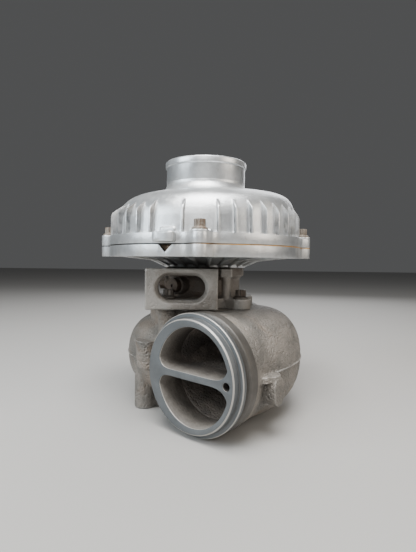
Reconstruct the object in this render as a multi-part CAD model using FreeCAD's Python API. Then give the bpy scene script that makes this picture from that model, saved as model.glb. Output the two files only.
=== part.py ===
"""Turbocharger: twin-entry cast-iron turbine housing, oil-lubricated bearing housing,
aluminium compressor end and one shared rotor.  Units are millimetres.

Frame: the rotor turns about Z.  Z = 0 is the exhaust outlet face the unit stands on,
+Z points out of the compressor inlet, +X is the side the compressor discharge is on
and -Y is the side of the window pad on the bearing housing.
"""
import math
import os

import FreeCAD
import Part

V = FreeCAD.Vector
os.makedirs("parts", exist_ok=True)

# ---------------------------------------------------------------- driving dimensions
RUN = 0.03            # radial running clearance of shaft in journal bearing
FLOAT = 0.05          # radial clearance of floating bearing in housing

# turbine end
INLET_Z = 56.4        # height of the inlet axis and of the casting parting plane
INLET_OFFSET = 64.4   # inlet axis to rotor axis
INLET_REACH = 89.0    # inlet face to the plane through the rotor axis
INLET_ANGLE = -41.0   # plan angle at which the inlet duct is tangent to the scroll
VBAND_R = 56.1        # inlet clamp flange radius
SPIGOT_R = 51.8       # inlet spigot radius
PORT_W, PORT_H = 42.5, 45.0   # half width and half height over the two D-shaped ports
PORT_SHIFT, DOWEL_OUT = 4.0, 43.5    # ports and dowel hole sit outward of the inlet axis
WEB = 6.0             # thickness of the web between the two ports
TH_TOP = 110.0        # turbine housing to bearing housing joint plane
EXH_R = 46.0          # exhaust outlet bore radius
TW_TIP_R, TW_EXD_R = 41.0, 36.5      # turbine wheel inlet and outlet radius
TW_BACK = 90.0        # back face of the turbine wheel
TB_PCD_R, TB_PHI = 63.5, (-36.0, 36.0, 144.0, 216.0)     # turbine flange bolts
REG_R = 50.5          # register of the bearing housing in the turbine housing
FOOT_R, FOOT_PHI, FOOT_COUNT = 71.0, -64.0, 3    # exhaust stud bosses

# bearing housing
CORE_R = 40.0
SHAFT_R, BRG_R, STUB_R = 7.0, 11.0, 4.5
SEAL_R = 11.3         # turbine end seal bore
BH_TOP = 152.0        # bearing housing to backplate joint plane
THRUST_Z = 156.05     # thrust bearing seat
PAD = dict(x0=-58.7, x1=13.2, y0=-73.0, y1=-60.0, z0=110.5, z1=151.4)
FEED_PHI, SIDE_PHI, DRAIN_PHI, PORT_Z = -37.0, -100.0, 180.0, 133.0

# compressor end
BP_BOTTOM, JOINT_Z, GASKET = 163.0, 174.2, 0.6
FLANGE_R, FLANGE_TOP = 107.0, 185.0
LUG_R, LUG_PCD_R, LUG_TOP, LUG_PHI = 9.0, 111.0, 187.0, -2.5
LUGS = [LUG_PHI + 90.0 * k for k in range(4)]
FLOOR_Z = 180.0       # diffuser floor on the backplate
ROOF_Z = 187.0        # diffuser roof in the cover
CW_TIP_R, CW_EYE_R = 52.0, 36.3      # compressor wheel outlet and eye radius
SNOUT_R, BEAD_R, RIM_Z = 44.45, 45.75, 269.2     # 3.5 in inlet hose connection
OUT_R, OUT_LEN = 31.75, 112.0        # 2.5 in discharge hose connection
RIB_COUNT, RIB_W = 40, 2.3


# ---------------------------------------------------------------- helpers
def polar(radius, phi, z=0.0):
    """Point at a radius; phi is measured from -Y toward +X, in degrees."""
    a = math.radians(phi)
    return V(radius * math.sin(a), -radius * math.cos(a), z)


def edge_chain(*runs):
    """Closed wire in the XZ plane: a list of 2 points is a line, more is a smooth curve."""
    edges, last, first = [], None, None
    for run in runs:
        pts = [V(r, 0, z) for r, z in run]
        if last is not None and last.distanceToPoint(pts[0]) > 1e-6:
            edges.append(Part.makeLine(last, pts[0]))
        if len(pts) == 2:
            edges.append(Part.makeLine(*pts))
        elif len(pts) > 2:
            curve = Part.BSplineCurve()
            curve.interpolate(pts)
            edges.append(curve.toShape())
        first = first or pts[0]
        last = pts[-1]
    if last.distanceToPoint(first) > 1e-6:
        edges.append(Part.makeLine(last, first))
    return Part.Wire(edges)


def turn(*points):
    """Solid of revolution about Z from (radius, z) corner points."""
    pts = [V(r, 0, z) for r, z in points]
    return Part.Face(Part.makePolygon(pts + pts[:1])).revolve(V(), V(0, 0, 1), 360)


def turn_curve(*runs):
    return Part.Face(edge_chain(*runs)).revolve(V(), V(0, 0, 1), 360)


def cyl(radius, z0, z1, at=None):
    p = at or V()
    return Part.makeCylinder(radius, z1 - z0, V(p.x, p.y, z0))


def rod(radius, start, direction, length):
    return Part.makeCylinder(radius, length, start, direction)


def block(x0, x1, y0, y1, z0, z1):
    return Part.makeBox(x1 - x0, y1 - y0, z1 - z0, V(x0, y0, z0))


def ring(r_out, r_in, z0, z1):
    return cyl(r_out, z0, z1).cut(cyl(r_in, z0 - 1, z1 + 1))


def fuse(*shapes):
    return shapes[0].multiFuse(list(shapes[1:])).removeSplitter()


def join(*shapes):
    """Fuse castings one piece at a time, which keeps the lofted faces sound."""
    out = shapes[0]
    for shape in shapes[1:]:
        out = out.fuse(shape)
    return out


def spun(shape, angle):
    out = shape.copy()
    out.rotate(V(), V(0, 0, 1), angle)
    return out


def pattern(shape, count, start=0.0):
    """Copies of a shape modelled at phi = 0, turned to start + k * 360 / count."""
    return [spun(shape, start + k * 360.0 / count) for k in range(count)]


def plate(points, z0, z1):
    pts = [V(x, y, z0) for x, y in points]
    return Part.Face(Part.makePolygon(pts + pts[:1])).extrude(V(0, 0, z1 - z0))


def torus(major, minor, z):
    return Part.makeTorus(major, minor, V(0, 0, z))


def lobed(radius, lug_pcd, lug_r, neck, z0, z1, angles):
    """Round flange with bolt lugs blended in by tapered necks."""
    inner = radius - 3.0
    arm = plate([(-lug_r, -lug_pcd), (lug_r, -lug_pcd), (neck, -inner + 1.5), (-neck, -inner + 1.5)], z0, z1)
    arms = [spun(arm, phi) for phi in angles]
    ends = [cyl(lug_r, z0, z1, polar(lug_pcd, phi)) for phi in angles]
    return fuse(cyl(radius, z0, z1), *(arms + ends))


def twelve_point(at, z, head_r, height, flange_r, flange_h, shank_r, depth):
    """12-point flange screw: seat on z, shank down to z - depth."""
    a = head_r / math.cos(math.radians(15))
    star = []
    for k in range(24):
        r = a if k % 2 == 0 else a * 0.90
        t = math.radians(15 * k)
        star.append((r * math.cos(t), r * math.sin(t)))
    top = z + flange_h + height
    head = plate(star, z + flange_h * 0.6, top)
    head = head.common(turn((0, z), (a * 1.2, z), (a * 1.2, top - 1.0), (a * 0.86, top), (0, top)))
    seat = turn((0, z), (flange_r - 0.3, z), (flange_r, z + 0.4), (flange_r, z + flange_h * 0.7),
                (head_r, z + flange_h * 1.5), (0, z + flange_h * 1.5))
    shank = turn((0, z - depth), (shank_r - 0.8, z - depth), (shank_r, z - depth + 0.8), (shank_r, z), (0, z))
    dish = turn((0, top - 1.2), (head_r * 0.45, top - 1.2), (head_r * 0.6, top + 0.1), (0, top + 0.1))
    screw = fuse(head, seat, shank).cut(dish)
    screw.translate(at)
    return screw


def blade(hub, shroud, wrap, thick):
    """Blade solid lofted through matching hub and shroud points (radius, z)."""
    wires = []
    for (rh, zh), (rs, zs), a in zip(hub, shroud, wrap):
        quad = []
        for r, z, side in ((rh, zh, -1), (rh, zh, 1), (rs, zs, 1), (rs, zs, -1)):
            t = math.radians(a) + side * math.asin(min(0.5 * thick / r, 0.5))
            quad.append(V(r * math.cos(t), r * math.sin(t), z))
        wires.append(Part.makePolygon(quad + quad[:1]))
    return Part.makeLoft(wires, True, False)


def closed_spline(points):
    curve = Part.BSplineCurve()
    curve.interpolate(Points=points, PeriodicFlag=True)
    return Part.Wire(curve.toShape())


def corner_cut(points):
    """Round a closed polygon once by cutting each corner at the quarter points."""
    out = []
    for k, (a, b) in enumerate(points):
        c, d = points[(k + 1) % len(points)]
        out += [(0.75 * a + 0.25 * c, 0.75 * b + 0.25 * d), (0.25 * a + 0.75 * c, 0.25 * b + 0.75 * d)]
    return out


def mix(a, b, t):
    return a + (b - a) * t


NODES = {}


# ---------------------------------------------------------------- turbine housing
A0 = math.radians(INLET_ANGLE)
DUCT = V(-math.sin(A0), math.cos(A0), 0)          # flow direction in the inlet duct
OUTWARD = V(math.cos(A0), math.sin(A0), 0)
INLET = OUTWARD * INLET_OFFSET - DUCT * INLET_REACH + V(0, 0, INLET_Z)
UP = V(0, 0, 1)


def at_duct(s, r, z):
    """Point in a cross-section of the inlet duct; r is measured like a scroll radius."""
    return INLET + DUCT * s + OUTWARD * (r - INLET_OFFSET) + UP * (z - INLET_Z)


def at_scroll(theta, r, z):
    t = math.radians(theta)
    return V(r * math.cos(t), r * math.sin(t), z)


def body_size(theta):
    """Scroll casting: outer radius, section half width and section half height."""
    return 109.5 - 0.1176 * (theta + 13), 48.4 - 0.029 * (theta + 41), 52.6 - 0.055 * (theta + 13)


def body_section(place, r_out, a, b, n=24):
    rim = []
    for k in range(n):
        t = 2 * math.pi * k / n
        c, s = math.cos(t), math.sin(t)
        grow = (abs(c) ** 2.3 + abs(s) ** 2.3) ** (-1 / 2.3)
        rim.append(place(r_out - a + a * grow * c, INLET_Z + b * grow * s))
    return closed_spline(rim)


def port_section(s, side, scale, shift):
    """D-shaped section of one inlet port at depth s, scaled and moved outward."""
    pts = []
    for k in range(13):
        q = math.radians(mix(15.0, 165.0, k / 12.0))
        pts.append((PORT_SHIFT + PORT_W * math.cos(q), PORT_H * math.sin(q)))
    pts += [(x, WEB / 2) for x in (-32.0, -10.0, 13.0, 37.0)]
    placed = []
    for x, y in corner_cut(pts):
        placed.append(at_duct(s, INLET_OFFSET + shift + x * scale, INLET_Z + side * (WEB / 2 + (y - WEB / 2) * scale)))
    return closed_spline(placed)


def gas_passage(side):
    """Straight D-shaped port and the tapering channel round the wheel, as two solids."""
    port = Part.makeLoft([port_section(-9.0, side, 1.0, 0.0), port_section(20.0, side, 0.98, 0.6),
                          port_section(62.0, side, 0.84, 7.0)], True, True)
    start, end = ((72, 79, 25, 15.5), (56, 80, 7, 6)) if side > 0 else ((76, 37, 25, 22), (60, 62, 7, 9))
    wires = []
    for k in range(15):
        if k == 0:
            place, t = (lambda r, z: at_duct(52.0, r, z)), 0.0
        else:
            theta = INLET_ANGLE + 291.0 * (k - 1) / 13
            place, t = (lambda r, z, q=theta: at_scroll(q, r, z)), (k - 1) / 13.0
        r0, z0, a, b = [mix(p, q, t) for p, q in zip(start, end)]
        wires.append(closed_spline([place(r0 + a * math.cos(math.pi * j / 8), z0 + b * math.sin(math.pi * j / 8))
                                    for j in range(16)]))
    return [port, Part.makeLoft(wires, True, False)]


def make_turbine_housing():
    duct = [body_section(lambda r, z, s=s: at_duct(s, r, z), INLET_OFFSET + w, w, w2)
            for s, w, w2 in ((12.0, 52.0, 52.0), (38.0, 51.0, 52.6), (64.0, 49.2, 53.6))]
    scroll = []
    for k in range(14):
        theta = INLET_ANGLE + 340.0 * k / 13
        scroll.append(body_section(lambda r, z, q=theta: at_scroll(q, r, z), *body_size(theta)))
    body = [Part.makeLoft(duct + scroll[:8], True, False), Part.makeLoft(scroll[7:], True, False)]
    # parting-line flash left by the two mould halves
    edge = [at_duct(s, INLET_OFFSET + w + 1.1, INLET_Z) for s, w in ((14, 52.0), (38, 51.0), (64, 49.2))]
    edge += [at_scroll(t, body_size(t)[0] + 1.1, INLET_Z) for t in range(-41, 236, 12)]
    edge.append(at_duct(14, INLET_OFFSET - 53.1, INLET_Z))
    flash = plate([(p.x, p.y) for p in edge], INLET_Z - 0.7, INLET_Z + 0.7)
    # centre: exhaust boss, top flange with bolt bosses, stud bosses on the exhaust face
    centre = turn((0, 0), (58, 0), (60, 2), (60, 9), (53, 16), (53, 70), (62, 80), (62, 108.5),
                  (60.5, TH_TOP), (0, TH_TOP))
    bosses = [cyl(10.5, 78, TH_TOP, polar(TB_PCD_R, phi)) for phi in TB_PHI]
    feet = [turn((0, 0), (10.2, 0), (11, 0.8), (11, 40), (0, 40)) for _ in range(FOOT_COUNT)]
    ties = []
    for k, foot in enumerate(feet):
        phi = FOOT_PHI + k * 360.0 / FOOT_COUNT
        foot.translate(polar(FOOT_R, phi))
        ties.append(spun(block(-9, 9, -FOOT_R, -50, 1, 14), phi))
    # inlet clamp flange: two rings with a groove between, spigot in front
    axis_pts = [(0, -7.0), (SPIGOT_R - 1.4, -7.0), (SPIGOT_R, -5.6), (SPIGOT_R, -0.6), (VBAND_R - 0.5, 0.0),
                (VBAND_R, 0.6), (VBAND_R - 0.2, 4.2), (VBAND_R - 1.8, 5.0), (50.5, 6.4), (50.5, 12.0),
                (VBAND_R - 1.4, 13.6), (VBAND_R - 0.4, 14.6), (VBAND_R - 0.4, 18.6), (52.0, 21.0), (0, 21.0)]
    flange = turn(*axis_pts)
    flange.Placement = FreeCAD.Placement(INLET, FreeCAD.Rotation(V(0, 0, 1), DUCT))
    # cast lifting lug beside the duct: shelf on the parting plane with a hanging tongue
    lug = []
    for s0, s1, r0, r1, z0, z1 in ((32, 56, 40, 62, -5, 1.5), (42, 52, 46, 62, -26, 0)):
        bar = Part.makeBox(s1 - s0, r1 - r0, z1 - z0)
        bar.Placement = FreeCAD.Placement(INLET + DUCT * s0 + OUTWARD * r1 + UP * z0,
                                          FreeCAD.Rotation(DUCT, OUTWARD * -1, UP, "XYZ"))
        lug.append(bar)
    # flat-sided block tying the inlet flange to the end of the scroll
    tie = Part.makeBox(38, 20, 22)
    tie.Placement = FreeCAD.Placement(INLET + DUCT * 6 + OUTWARD * -40 + UP * -12,
                                      FreeCAD.Rotation(DUCT, OUTWARD * -1, UP, "XYZ"))
    shape = join(body[0], body[1], flange, centre, flash, tie, *(bosses + feet + ties + lug))
    # gas passages, throat, wheel contour and exhaust outlet
    hollows = gas_passage(1) + gas_passage(-1)
    bore = turn_curve([(0, -1), (EXH_R, -1)], [(EXH_R, -1), (EXH_R, 10)],
                      [(EXH_R, 10), (43.7, 21), (39.0, 38), (36.9, 48), (37.0, 55), (37.4, 62), (38.0, 69),
                       (38.9, 73.8), (40.2, 77.6), (42.0, 80)],
                      [(42.0, 80), (51.0, 77.0)], [(51.0, 77.0), (57.5, 66.0)], [(57.5, 66.0), (60.5, 67.5)],
                      [(60.5, 67.5), (54.0, 79.5)], [(54.0, 79.5), (43.5, 84.0)], [(43.5, 84.0), (43.5, 86.0)],
                      [(43.5, 86.0), (56.0, 84.5)], [(56.0, 84.5), (56.0, 90.0)], [(56.0, 90.0), (46, 90.8)],
                      [(46, 90.8), (46, 102.8)], [(46, 102.8), (REG_R, 102.8)],
                      [(REG_R, 102.8), (REG_R, 111)], [(REG_R, 111), (0, 111)])
    # the joint face is milled flat, and the scroll is relieved under the window pad
    relief = block(PAD["x0"] - 1, PAD["x1"] + 1, PAD["y0"] - 1, -30, TH_TOP, TH_TOP + 4)
    cuts = [bore, cyl(76.0, TH_TOP, TH_TOP + 4), relief] + hollows
    for phi in TB_PHI:
        cuts.append(cyl(5.0, 97, 111, polar(TB_PCD_R, phi)))
    for k in range(FOOT_COUNT):
        cuts.append(turn((0, -1), (5.0, -1), (5.0, 20), (0, 23)))
        cuts[-1].translate(polar(FOOT_R, FOOT_PHI + k * 360.0 / FOOT_COUNT))
    cuts.append(rod(3.65, INLET + OUTWARD * DOWEL_OUT - DUCT * 8, DUCT, 20))
    for c in cuts:
        shape = shape.cut(c)
    return shape


def make_turbine_wheel():
    hub_line = [(40.6, 88.3), (31, 87), (22, 82), (16, 74), (12.8, 64), (11.2, 54), (10.6, 46.5)]
    hub = turn_curve([(0, 41), (7.5, 41)], [(7.5, 41), (8.4, 42)], [(8.4, 42), (8.4, 46)],
                     [(10.6, 46.5), (11.2, 54), (12.8, 64), (16, 74), (22, 82), (31, 87), (40.6, 88.3)],
                     [(40.6, 88.3), (40.6, 89.4)], [(40.0, TW_BACK), (12.5, TW_BACK)],
                     [(12.5, TW_BACK), (12.5, 91.8)], [(11.0, 93.4), (11.0, 101.4)], [(10.4, 102.0), (0, 102.0)])
    hub = hub.cut(ring(12.0, 9.4, 96.0, 98.0))
    shroud = [(41, 80), (39.7, 77), (38.5, 73.5), (37.6, 69), (37.0, 62), (36.6, 55), (36.5, 48)]
    root = [(r - 0.9, z + 0.7) for r, z in hub_line[:-1]] + [(9.6, 48)]
    root[0] = (39.9, 88.6)
    wrap = [-46.0 * (k / 6.0) ** 2 for k in range(7)]
    one = blade(root, shroud, wrap, 1.7)
    wheel = fuse(hub, *[spun(one, k * 360.0 / 12) for k in range(12)])
    hexagon = plate([(9.2 * math.cos(math.radians(60 * k)), 9.2 * math.sin(math.radians(60 * k)))
                     for k in range(6)], 40.0, 46.0)
    return fuse(wheel, hexagon)


NODES["turbine_housing"] = make_turbine_housing()
NODES["turbine_wheel"] = make_turbine_wheel()
NODES["heat_shield"] = turn((REG_R - 0.5, 102.8), (REG_R - 0.5, 104.0), (44.4, 104.0), (44.4, 92.6), (27.0, 92.6),
                            (14.6, 93.0), (14.6, 91.8), (27.0, 91.4), (45.7, 91.4), (45.7, 102.8))
NODES["turbine_seal_ring"] = ring(SEAL_R, 9.8, 96.2, 97.8)


# ---------------------------------------------------------------- bearing housing
def make_bearing_housing():
    base = lobed(55.0, TB_PCD_R, 10.5, 13.0, TH_TOP, 120.5, TB_PHI)
    body = turn((0, 93.4), (19.0, 93.4), (21.0, 94.4), (26, 103.0), (43, 104.0), (REG_R - 0.3, 104.0), (REG_R - 0.3, 111),
                (50, 119), (42.5, 123.0), (CORE_R, 126.5), (CORE_R, 139), (42.5, 142), (44.5, 143.0),
                (44.5, 151.2), (43.7, BH_TOP), (31.0, BH_TOP), (31.0, 155.5), (30.5, THRUST_Z), (0, THRUST_Z))
    # window pad: plate in front with the flanges and a side web carried out to it
    p = PAD
    pad = block(p["x0"], p["x1"], p["y0"], p["y1"], p["z0"], p["z1"])
    pad = pad.makeFillet(1.2, [e for e in pad.Edges if abs(e.BoundBox.ZLength) < 1e-6 or e.BoundBox.YLength < 1e-6])
    shelf_low = block(-54, 12, -61, -30, TH_TOP + 0.5, 120.5)
    shelf_top = block(-44, 12, -61, -20, 143.5, 151.0)
    web = block(3.2, 12.6, -61, -34, TH_TOP + 1, 151.0)
    post = cyl(4.9, 119, 144, V(22.6, -47.5, 0))
    ear = block(16.5, 28.5, -52.5, -30, 142.5, 151.0)
    # oil feed boss, oil drain pad and the two plugged side bosses
    feed_dir = polar(1, FEED_PHI)
    feed = rod(9.5, V(0, 0, PORT_Z) + feed_dir * 30, feed_dir, 20.5)
    drain = spun(block(-28, 28, -62, -20, 112.5, 150.5), DRAIN_PHI)
    drain = drain.makeFillet(7.0, [e for e in drain.Edges if e.BoundBox.ZLength < 1e-6 and abs(
        e.valueAt(0).distanceToPoint(e.valueAt(e.LastParameter)) - 42) < 0.1])
    side = rod(8.0, V(0, 0, PORT_Z), polar(1, SIDE_PHI), 46.0)
    shape = fuse(base, body, pad, shelf_low, shelf_top, web, post, ear, feed, drain, side)
    # window through the pad: stadium opening with a wide chamfered lip
    cx, cz = 0.5 * (-46.0 + 0.2), 0.5 * (p["z0"] + p["z1"]) + 1.3

    def stadium(half_w, half_h, y):
        left, right = V(cx - half_w + half_h, y, cz), V(cx + half_w - half_h, y, cz)
        top, low = V(0, 0, half_h), V(0, 0, -half_h)
        return Part.Wire([Part.makeLine(left + top, right + top),
                          Part.Arc(right + top, right + V(half_h, 0, 0), right + low).toShape(),
                          Part.makeLine(right + low, left + low),
                          Part.Arc(left + low, left + V(-half_h, 0, 0), left + top).toShape()])
    lip = Part.makeLoft([stadium(26.8, 15.6, -73.5), stadium(23.6, 12.4, -68.5)], True, True)
    hole = Part.Face(stadium(23.6, 12.4, -69)).extrude(V(0, 12, 0))
    cuts = [lip, hole]
    # bores along the rotor axis
    cuts.append(turn((0, 92), (SEAL_R, 92), (SEAL_R, 102.6), (15.0, 102.6), (15.0, 104.6), (BRG_R, 104.6),
                     (BRG_R, 149.0), (20.0, 152.4), (20.0, 157), (0, 157)))
    for z in (105.2, 117.8, 136.0, 148.0):
        cuts.append(ring(11.9, 10.5, z, z + 1.3))
    cuts.append(ring(32.0, 28.9, 153.0, 155.4).cut(cyl(28.9, 150, 160)))
    # oil chamber round the bearing carrier, left solid where the feed drilling crosses it
    chamber = turn((17.5, 109), (30, 112), (33.5, 117), (33.5, 141), (28, 145), (17.5, 145))
    keep = spun(block(-9, 9, -40, -10, 100, 150), FEED_PHI)
    cuts.append(chamber.cut(keep))
    cuts.append(rod(2.5, V(0, 0, PORT_Z) + feed_dir * 5, feed_dir, 50))
    cuts.append(rod(6.0, V(0, 0, PORT_Z) + feed_dir * 38, feed_dir, 20))
    for z_end in (112.0, 142.5):
        start = V(0, 0, PORT_Z) + feed_dir * 22
        goal = V(0, 0, z_end) + feed_dir * 9
        cuts.append(rod(1.6, start, goal - start, (goal - start).Length))
    drain_dir = polar(1, DRAIN_PHI)
    cuts.append(rod(9.5, V(0, 0, PORT_Z - 1.5) + drain_dir * 24, drain_dir, 45))
    for off in (-20.5, 20.5):
        across = V(-drain_dir.y, drain_dir.x, 0) * off
        cuts.append(rod(4.2, V(0, 0, PORT_Z - 1.5) + across + drain_dir * 47, drain_dir, 20))
    cuts.append(rod(5.0, V(0, 0, PORT_Z) + polar(36.5, SIDE_PHI), polar(1, SIDE_PHI), 14))
    for phi in TB_PHI:
        cuts.append(cyl(5.1, 100, 121, polar(TB_PCD_R, phi)))
        cuts.append(cyl(9.2, 120.5, 134, polar(TB_PCD_R, phi)))
    for k in range(4):
        cuts.append(cyl(3.0, 141.5, 153, polar(39.0, 45 + 90 * k)))
    for phi in (90, 270):
        cuts.append(cyl(1.5, 151.5, 157, polar(25.5, phi)))
    for c in cuts:
        shape = shape.cut(c)
    return shape


def bearing(z0, z1):
    """Floating journal bearing with a central oil groove and six oil holes."""
    body = ring(BRG_R - FLOAT, SHAFT_R + RUN, z0, z1)
    mid = 0.5 * (z0 + z1)
    body = body.cut(ring(12, BRG_R - 0.9, mid - 1.6, mid + 1.6))
    for k in range(6):
        body = body.cut(rod(1.1, V(0, 0, mid), polar(1, 60 * k), 14))
    return body


def snap_ring(r_out, r_in, z0, z1, ears):
    """Split retaining ring with a gap and plier holes facing phi = 0."""
    body = ring(r_out, r_in, z0, z1).cut(block(-1.6, 1.6, -r_out - 1, 0, z0 - 1, z1 + 1))
    if ears:
        for sx in (-1, 1):
            ear = cyl(2.2, z0, z1, V(sx * 4.0, -(r_in + 0.6), 0))
            body = body.fuse(ear).cut(cyl(0.9, z0 - 1, z1 + 1, V(sx * 4.0, -(r_in + 0.4), 0)))
    return body


NODES["bearing_housing"] = make_bearing_housing()
NODES["journal_bearing_turbine"] = bearing(106.8, 117.6)
NODES["journal_bearing_compressor"] = bearing(137.6, 147.8)
NODES["bearing_retaining_rings"] = Part.makeCompound(
    [snap_ring(11.85, 9.7, z, z + 1.1, False) for z in (105.3, 117.9, 136.1, 148.1)])
NODES["turbine_flange_bolts"] = Part.makeCompound(
    [twelve_point(polar(TB_PCD_R, phi), 120.5, 5.25, 7.0, 8.0, 2.2, 4.9, 22.0) for phi in TB_PHI])


def make_feed_plug():
    """Plug in the oil feed port, with a centre dimple."""
    d = polar(1, FEED_PHI)
    base = V(0, 0, PORT_Z) + d * 50.5
    body = fuse(rod(7.6, base, d, 6.6), rod(5.9, base - d * 10, d, 10.5))
    return body.cut(rod(1.6, base + d * 5.2, d, 3)).cut(rod(2.5, base - d * 11, d, 8))


def make_side_plug():
    d = polar(1, SIDE_PHI)
    base = V(0, 0, PORT_Z) + d * 46.0
    hexagon = Part.Face(Part.makePolygon([V(7 * math.cos(math.radians(60 * k)), 7 * math.sin(math.radians(60 * k)), 0)
                                          for k in range(7)])).extrude(V(0, 0, 5))
    hexagon.Placement = FreeCAD.Placement(base + d * 1.5, FreeCAD.Rotation(V(0, 0, 1), d))
    return fuse(rod(7.4, base, d, 1.6), hexagon, rod(4.9, base - d * 8, d, 8.5))


NODES["oil_feed_plug"] = make_feed_plug()
NODES["side_plug"] = make_side_plug()

# ---------------------------------------------------------------- rotor and thrust parts
NODES["rotor_shaft"] = turn(
    (0, 102.0), (SHAFT_R - 0.4, 102.0), (SHAFT_R, 102.5), (SHAFT_R, 119), (SHAFT_R - 0.5, 120),
    (SHAFT_R - 0.5, 135), (SHAFT_R, 136), (SHAFT_R, 153.0), (STUB_R, 153.0), (STUB_R, 224.2),
    (STUB_R - 0.8, 225.0), (0, 225.0))
NODES["thrust_collar"] = turn((STUB_R, 153.0), (14.6, 153.0), (15.0, 153.4), (15.0, 156.0), (8.5, 156.0),
                              (8.5, 161.05), (STUB_R, 161.05))


def make_thrust_bearing():
    body = ring(30.6, 9.0, THRUST_Z, 161.0)
    for k in range(6):
        groove = spun(block(-0.8, 0.8, -16, -8, 160.4, 162), 60 * k)
        body = body.cut(groove)
    body = body.cut(rod(1.2, V(0, 0, 158.5), polar(1, 0), 32))
    for phi in (90, 270):
        body = body.cut(cyl(1.55, 155, 162, polar(25.5, phi)))
    return body


NODES["thrust_bearing"] = make_thrust_bearing()
NODES["thrust_bearing_pins"] = Part.makeCompound([cyl(1.5, 151.5, 160.6, polar(25.5, phi)) for phi in (90, 270)])
NODES["oil_slinger"] = turn((STUB_R, 161.05), (14.6, 161.05), (15.0, 161.4), (15.0, 163.6), (13.0, 164.4),
                            (13.0, 168.0), (11.2, 168.0), (11.2, 170.0), (13.0, 170.0), (13.0, 177.2),
                            (12.6, 177.6), (STUB_R, 177.6))
NODES["compressor_seal_ring"] = ring(13.3, 11.6, 168.2, 169.8)
NODES["seal_plate"] = turn((17.5, 161.0), (31.0, 161.0), (31.0, 168.0), (28.9, 168.0), (28.9, 170.4),
                           (31.0, 170.4), (31.0, 172.0), (20.0, 172.0), (18.0, 173.2), (13.3, 173.2),
                           (13.3, 166.4), (17.5, 165.2))
NODES["seal_plate_o_ring"] = torus(30.1, 1.15, 169.2)
NODES["bearing_housing_o_ring"] = torus(30.1, 1.15, 154.2)
NODES["seal_plate_snap_ring"] = snap_ring(32.6, 28.0, 172.05, 173.5, True)


# ---------------------------------------------------------------- compressor backplate
def make_backplate():
    body = lobed(FLANGE_R, LUG_PCD_R, LUG_R, 16.0, BP_BOTTOM, JOINT_Z, LUGS)
    hub = turn((31.3, 152.0), (46.0, 152.0), (46.8, 152.8), (46.8, 155.0), (61.5, 162.0), (70, 163.6),
               (96.7, 164.0), (96.7, FLOOR_Z), (53.2, FLOOR_Z), (53.2, 177.0), (31.3, 177.0))
    # the underside of the flange is lightened between radial ribs
    lighten = turn((62, 160), (97, 160), (94, 167.5), (68, 167.5))
    rib = block(-1.5, 1.5, -98, -46, 153.2, 169)
    ribs = pattern(rib, 24, 4.0)
    cone = turn((31.3, 152.6), (46.5, 152.6), (61.5, 159.2), (97, 163.0), (97, 170), (31.3, 170))
    web = Part.makeCompound(ribs).common(cone)
    bore = cyl(31.3, 140, 190)
    shape = fuse(body.cut(lighten), hub.cut(lighten)).cut(bore)
    shape = fuse(shape, web.cut(bore))
    shape = shape.cut(ring(32.8, 31.0, 171.9, 173.7).cut(cyl(31.0, 170, 175)))
    for k in range(4):
        at = polar(39.0, 45 + 90 * k)
        shape = shape.cut(cyl(3.3, 150, 170, at)).cut(cyl(6.0, 160.0, 178, at))
        shape = shape.cut(cyl(4.8, 150, 175, polar(LUG_PCD_R, LUGS[k])))
    return shape


NODES["backplate"] = make_backplate()
NODES["backplate_bolts"] = Part.makeCompound([
    fuse(cyl(2.95, 143.5, 160.0, polar(39.0, 45 + 90 * k)), cyl(5.0, 160.0, 166.0, polar(39.0, 45 + 90 * k))).cut(
        Part.Face(Part.makePolygon([polar(39.0, 45 + 90 * k, 163.0) + V(2.9 * math.cos(math.radians(60 * j)),
                                                                        2.9 * math.sin(math.radians(60 * j)), 0)
                                    for j in range(7)])).extrude(V(0, 0, 4))) for k in range(4)])
NODES["cover_gasket"] = lobed(FLANGE_R - 0.4, LUG_PCD_R, LUG_R - 0.4, 15.6, JOINT_Z, JOINT_Z + GASKET, LUGS)
NODES["cover_gasket"] = NODES["cover_gasket"].cut(cyl(97.2, 170, 180))
for k in range(4):
    NODES["cover_gasket"] = NODES["cover_gasket"].cut(cyl(5.2, 170, 180, polar(LUG_PCD_R, LUGS[k])))
NODES["cover_bolts"] = Part.makeCompound(
    [twelve_point(polar(LUG_PCD_R, LUGS[k]), LUG_TOP, 5.1, 7.4, 7.4, 2.0, 4.75, 22.0) for k in range(4)])


# ---------------------------------------------------------------- compressor cover
def volute_r(theta):
    """Volute passage radius at plan angle theta (15 at the tongue, 360 at the outlet)."""
    return 11.0 + 9.0 * (theta - 15.0) / 345.0


def dome_weight(theta):
    """0 where the dome is low, 1 where the volute is largest ahead of the outlet."""
    u = (theta - 15.0) % 360.0 / 345.0
    return u ** 5 if u <= 1.0 else 1.0 - (u - 1.0) / (15.0 / 345.0)


DOME_LOW = [(40.0, 229.5), (56.0, 231.2), (68.0, 230.0), (82.0, 226.0), (90.0, 220.5), (96.5, 212.0), (100.2, 202.0)]
DOME_HIGH = [(40.0, 234.5), (56.0, 237.2), (68.0, 236.5), (84.0, 234.0), (94.0, 228.5), (99.5, 218.0), (101.3, 204.0)]


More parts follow.
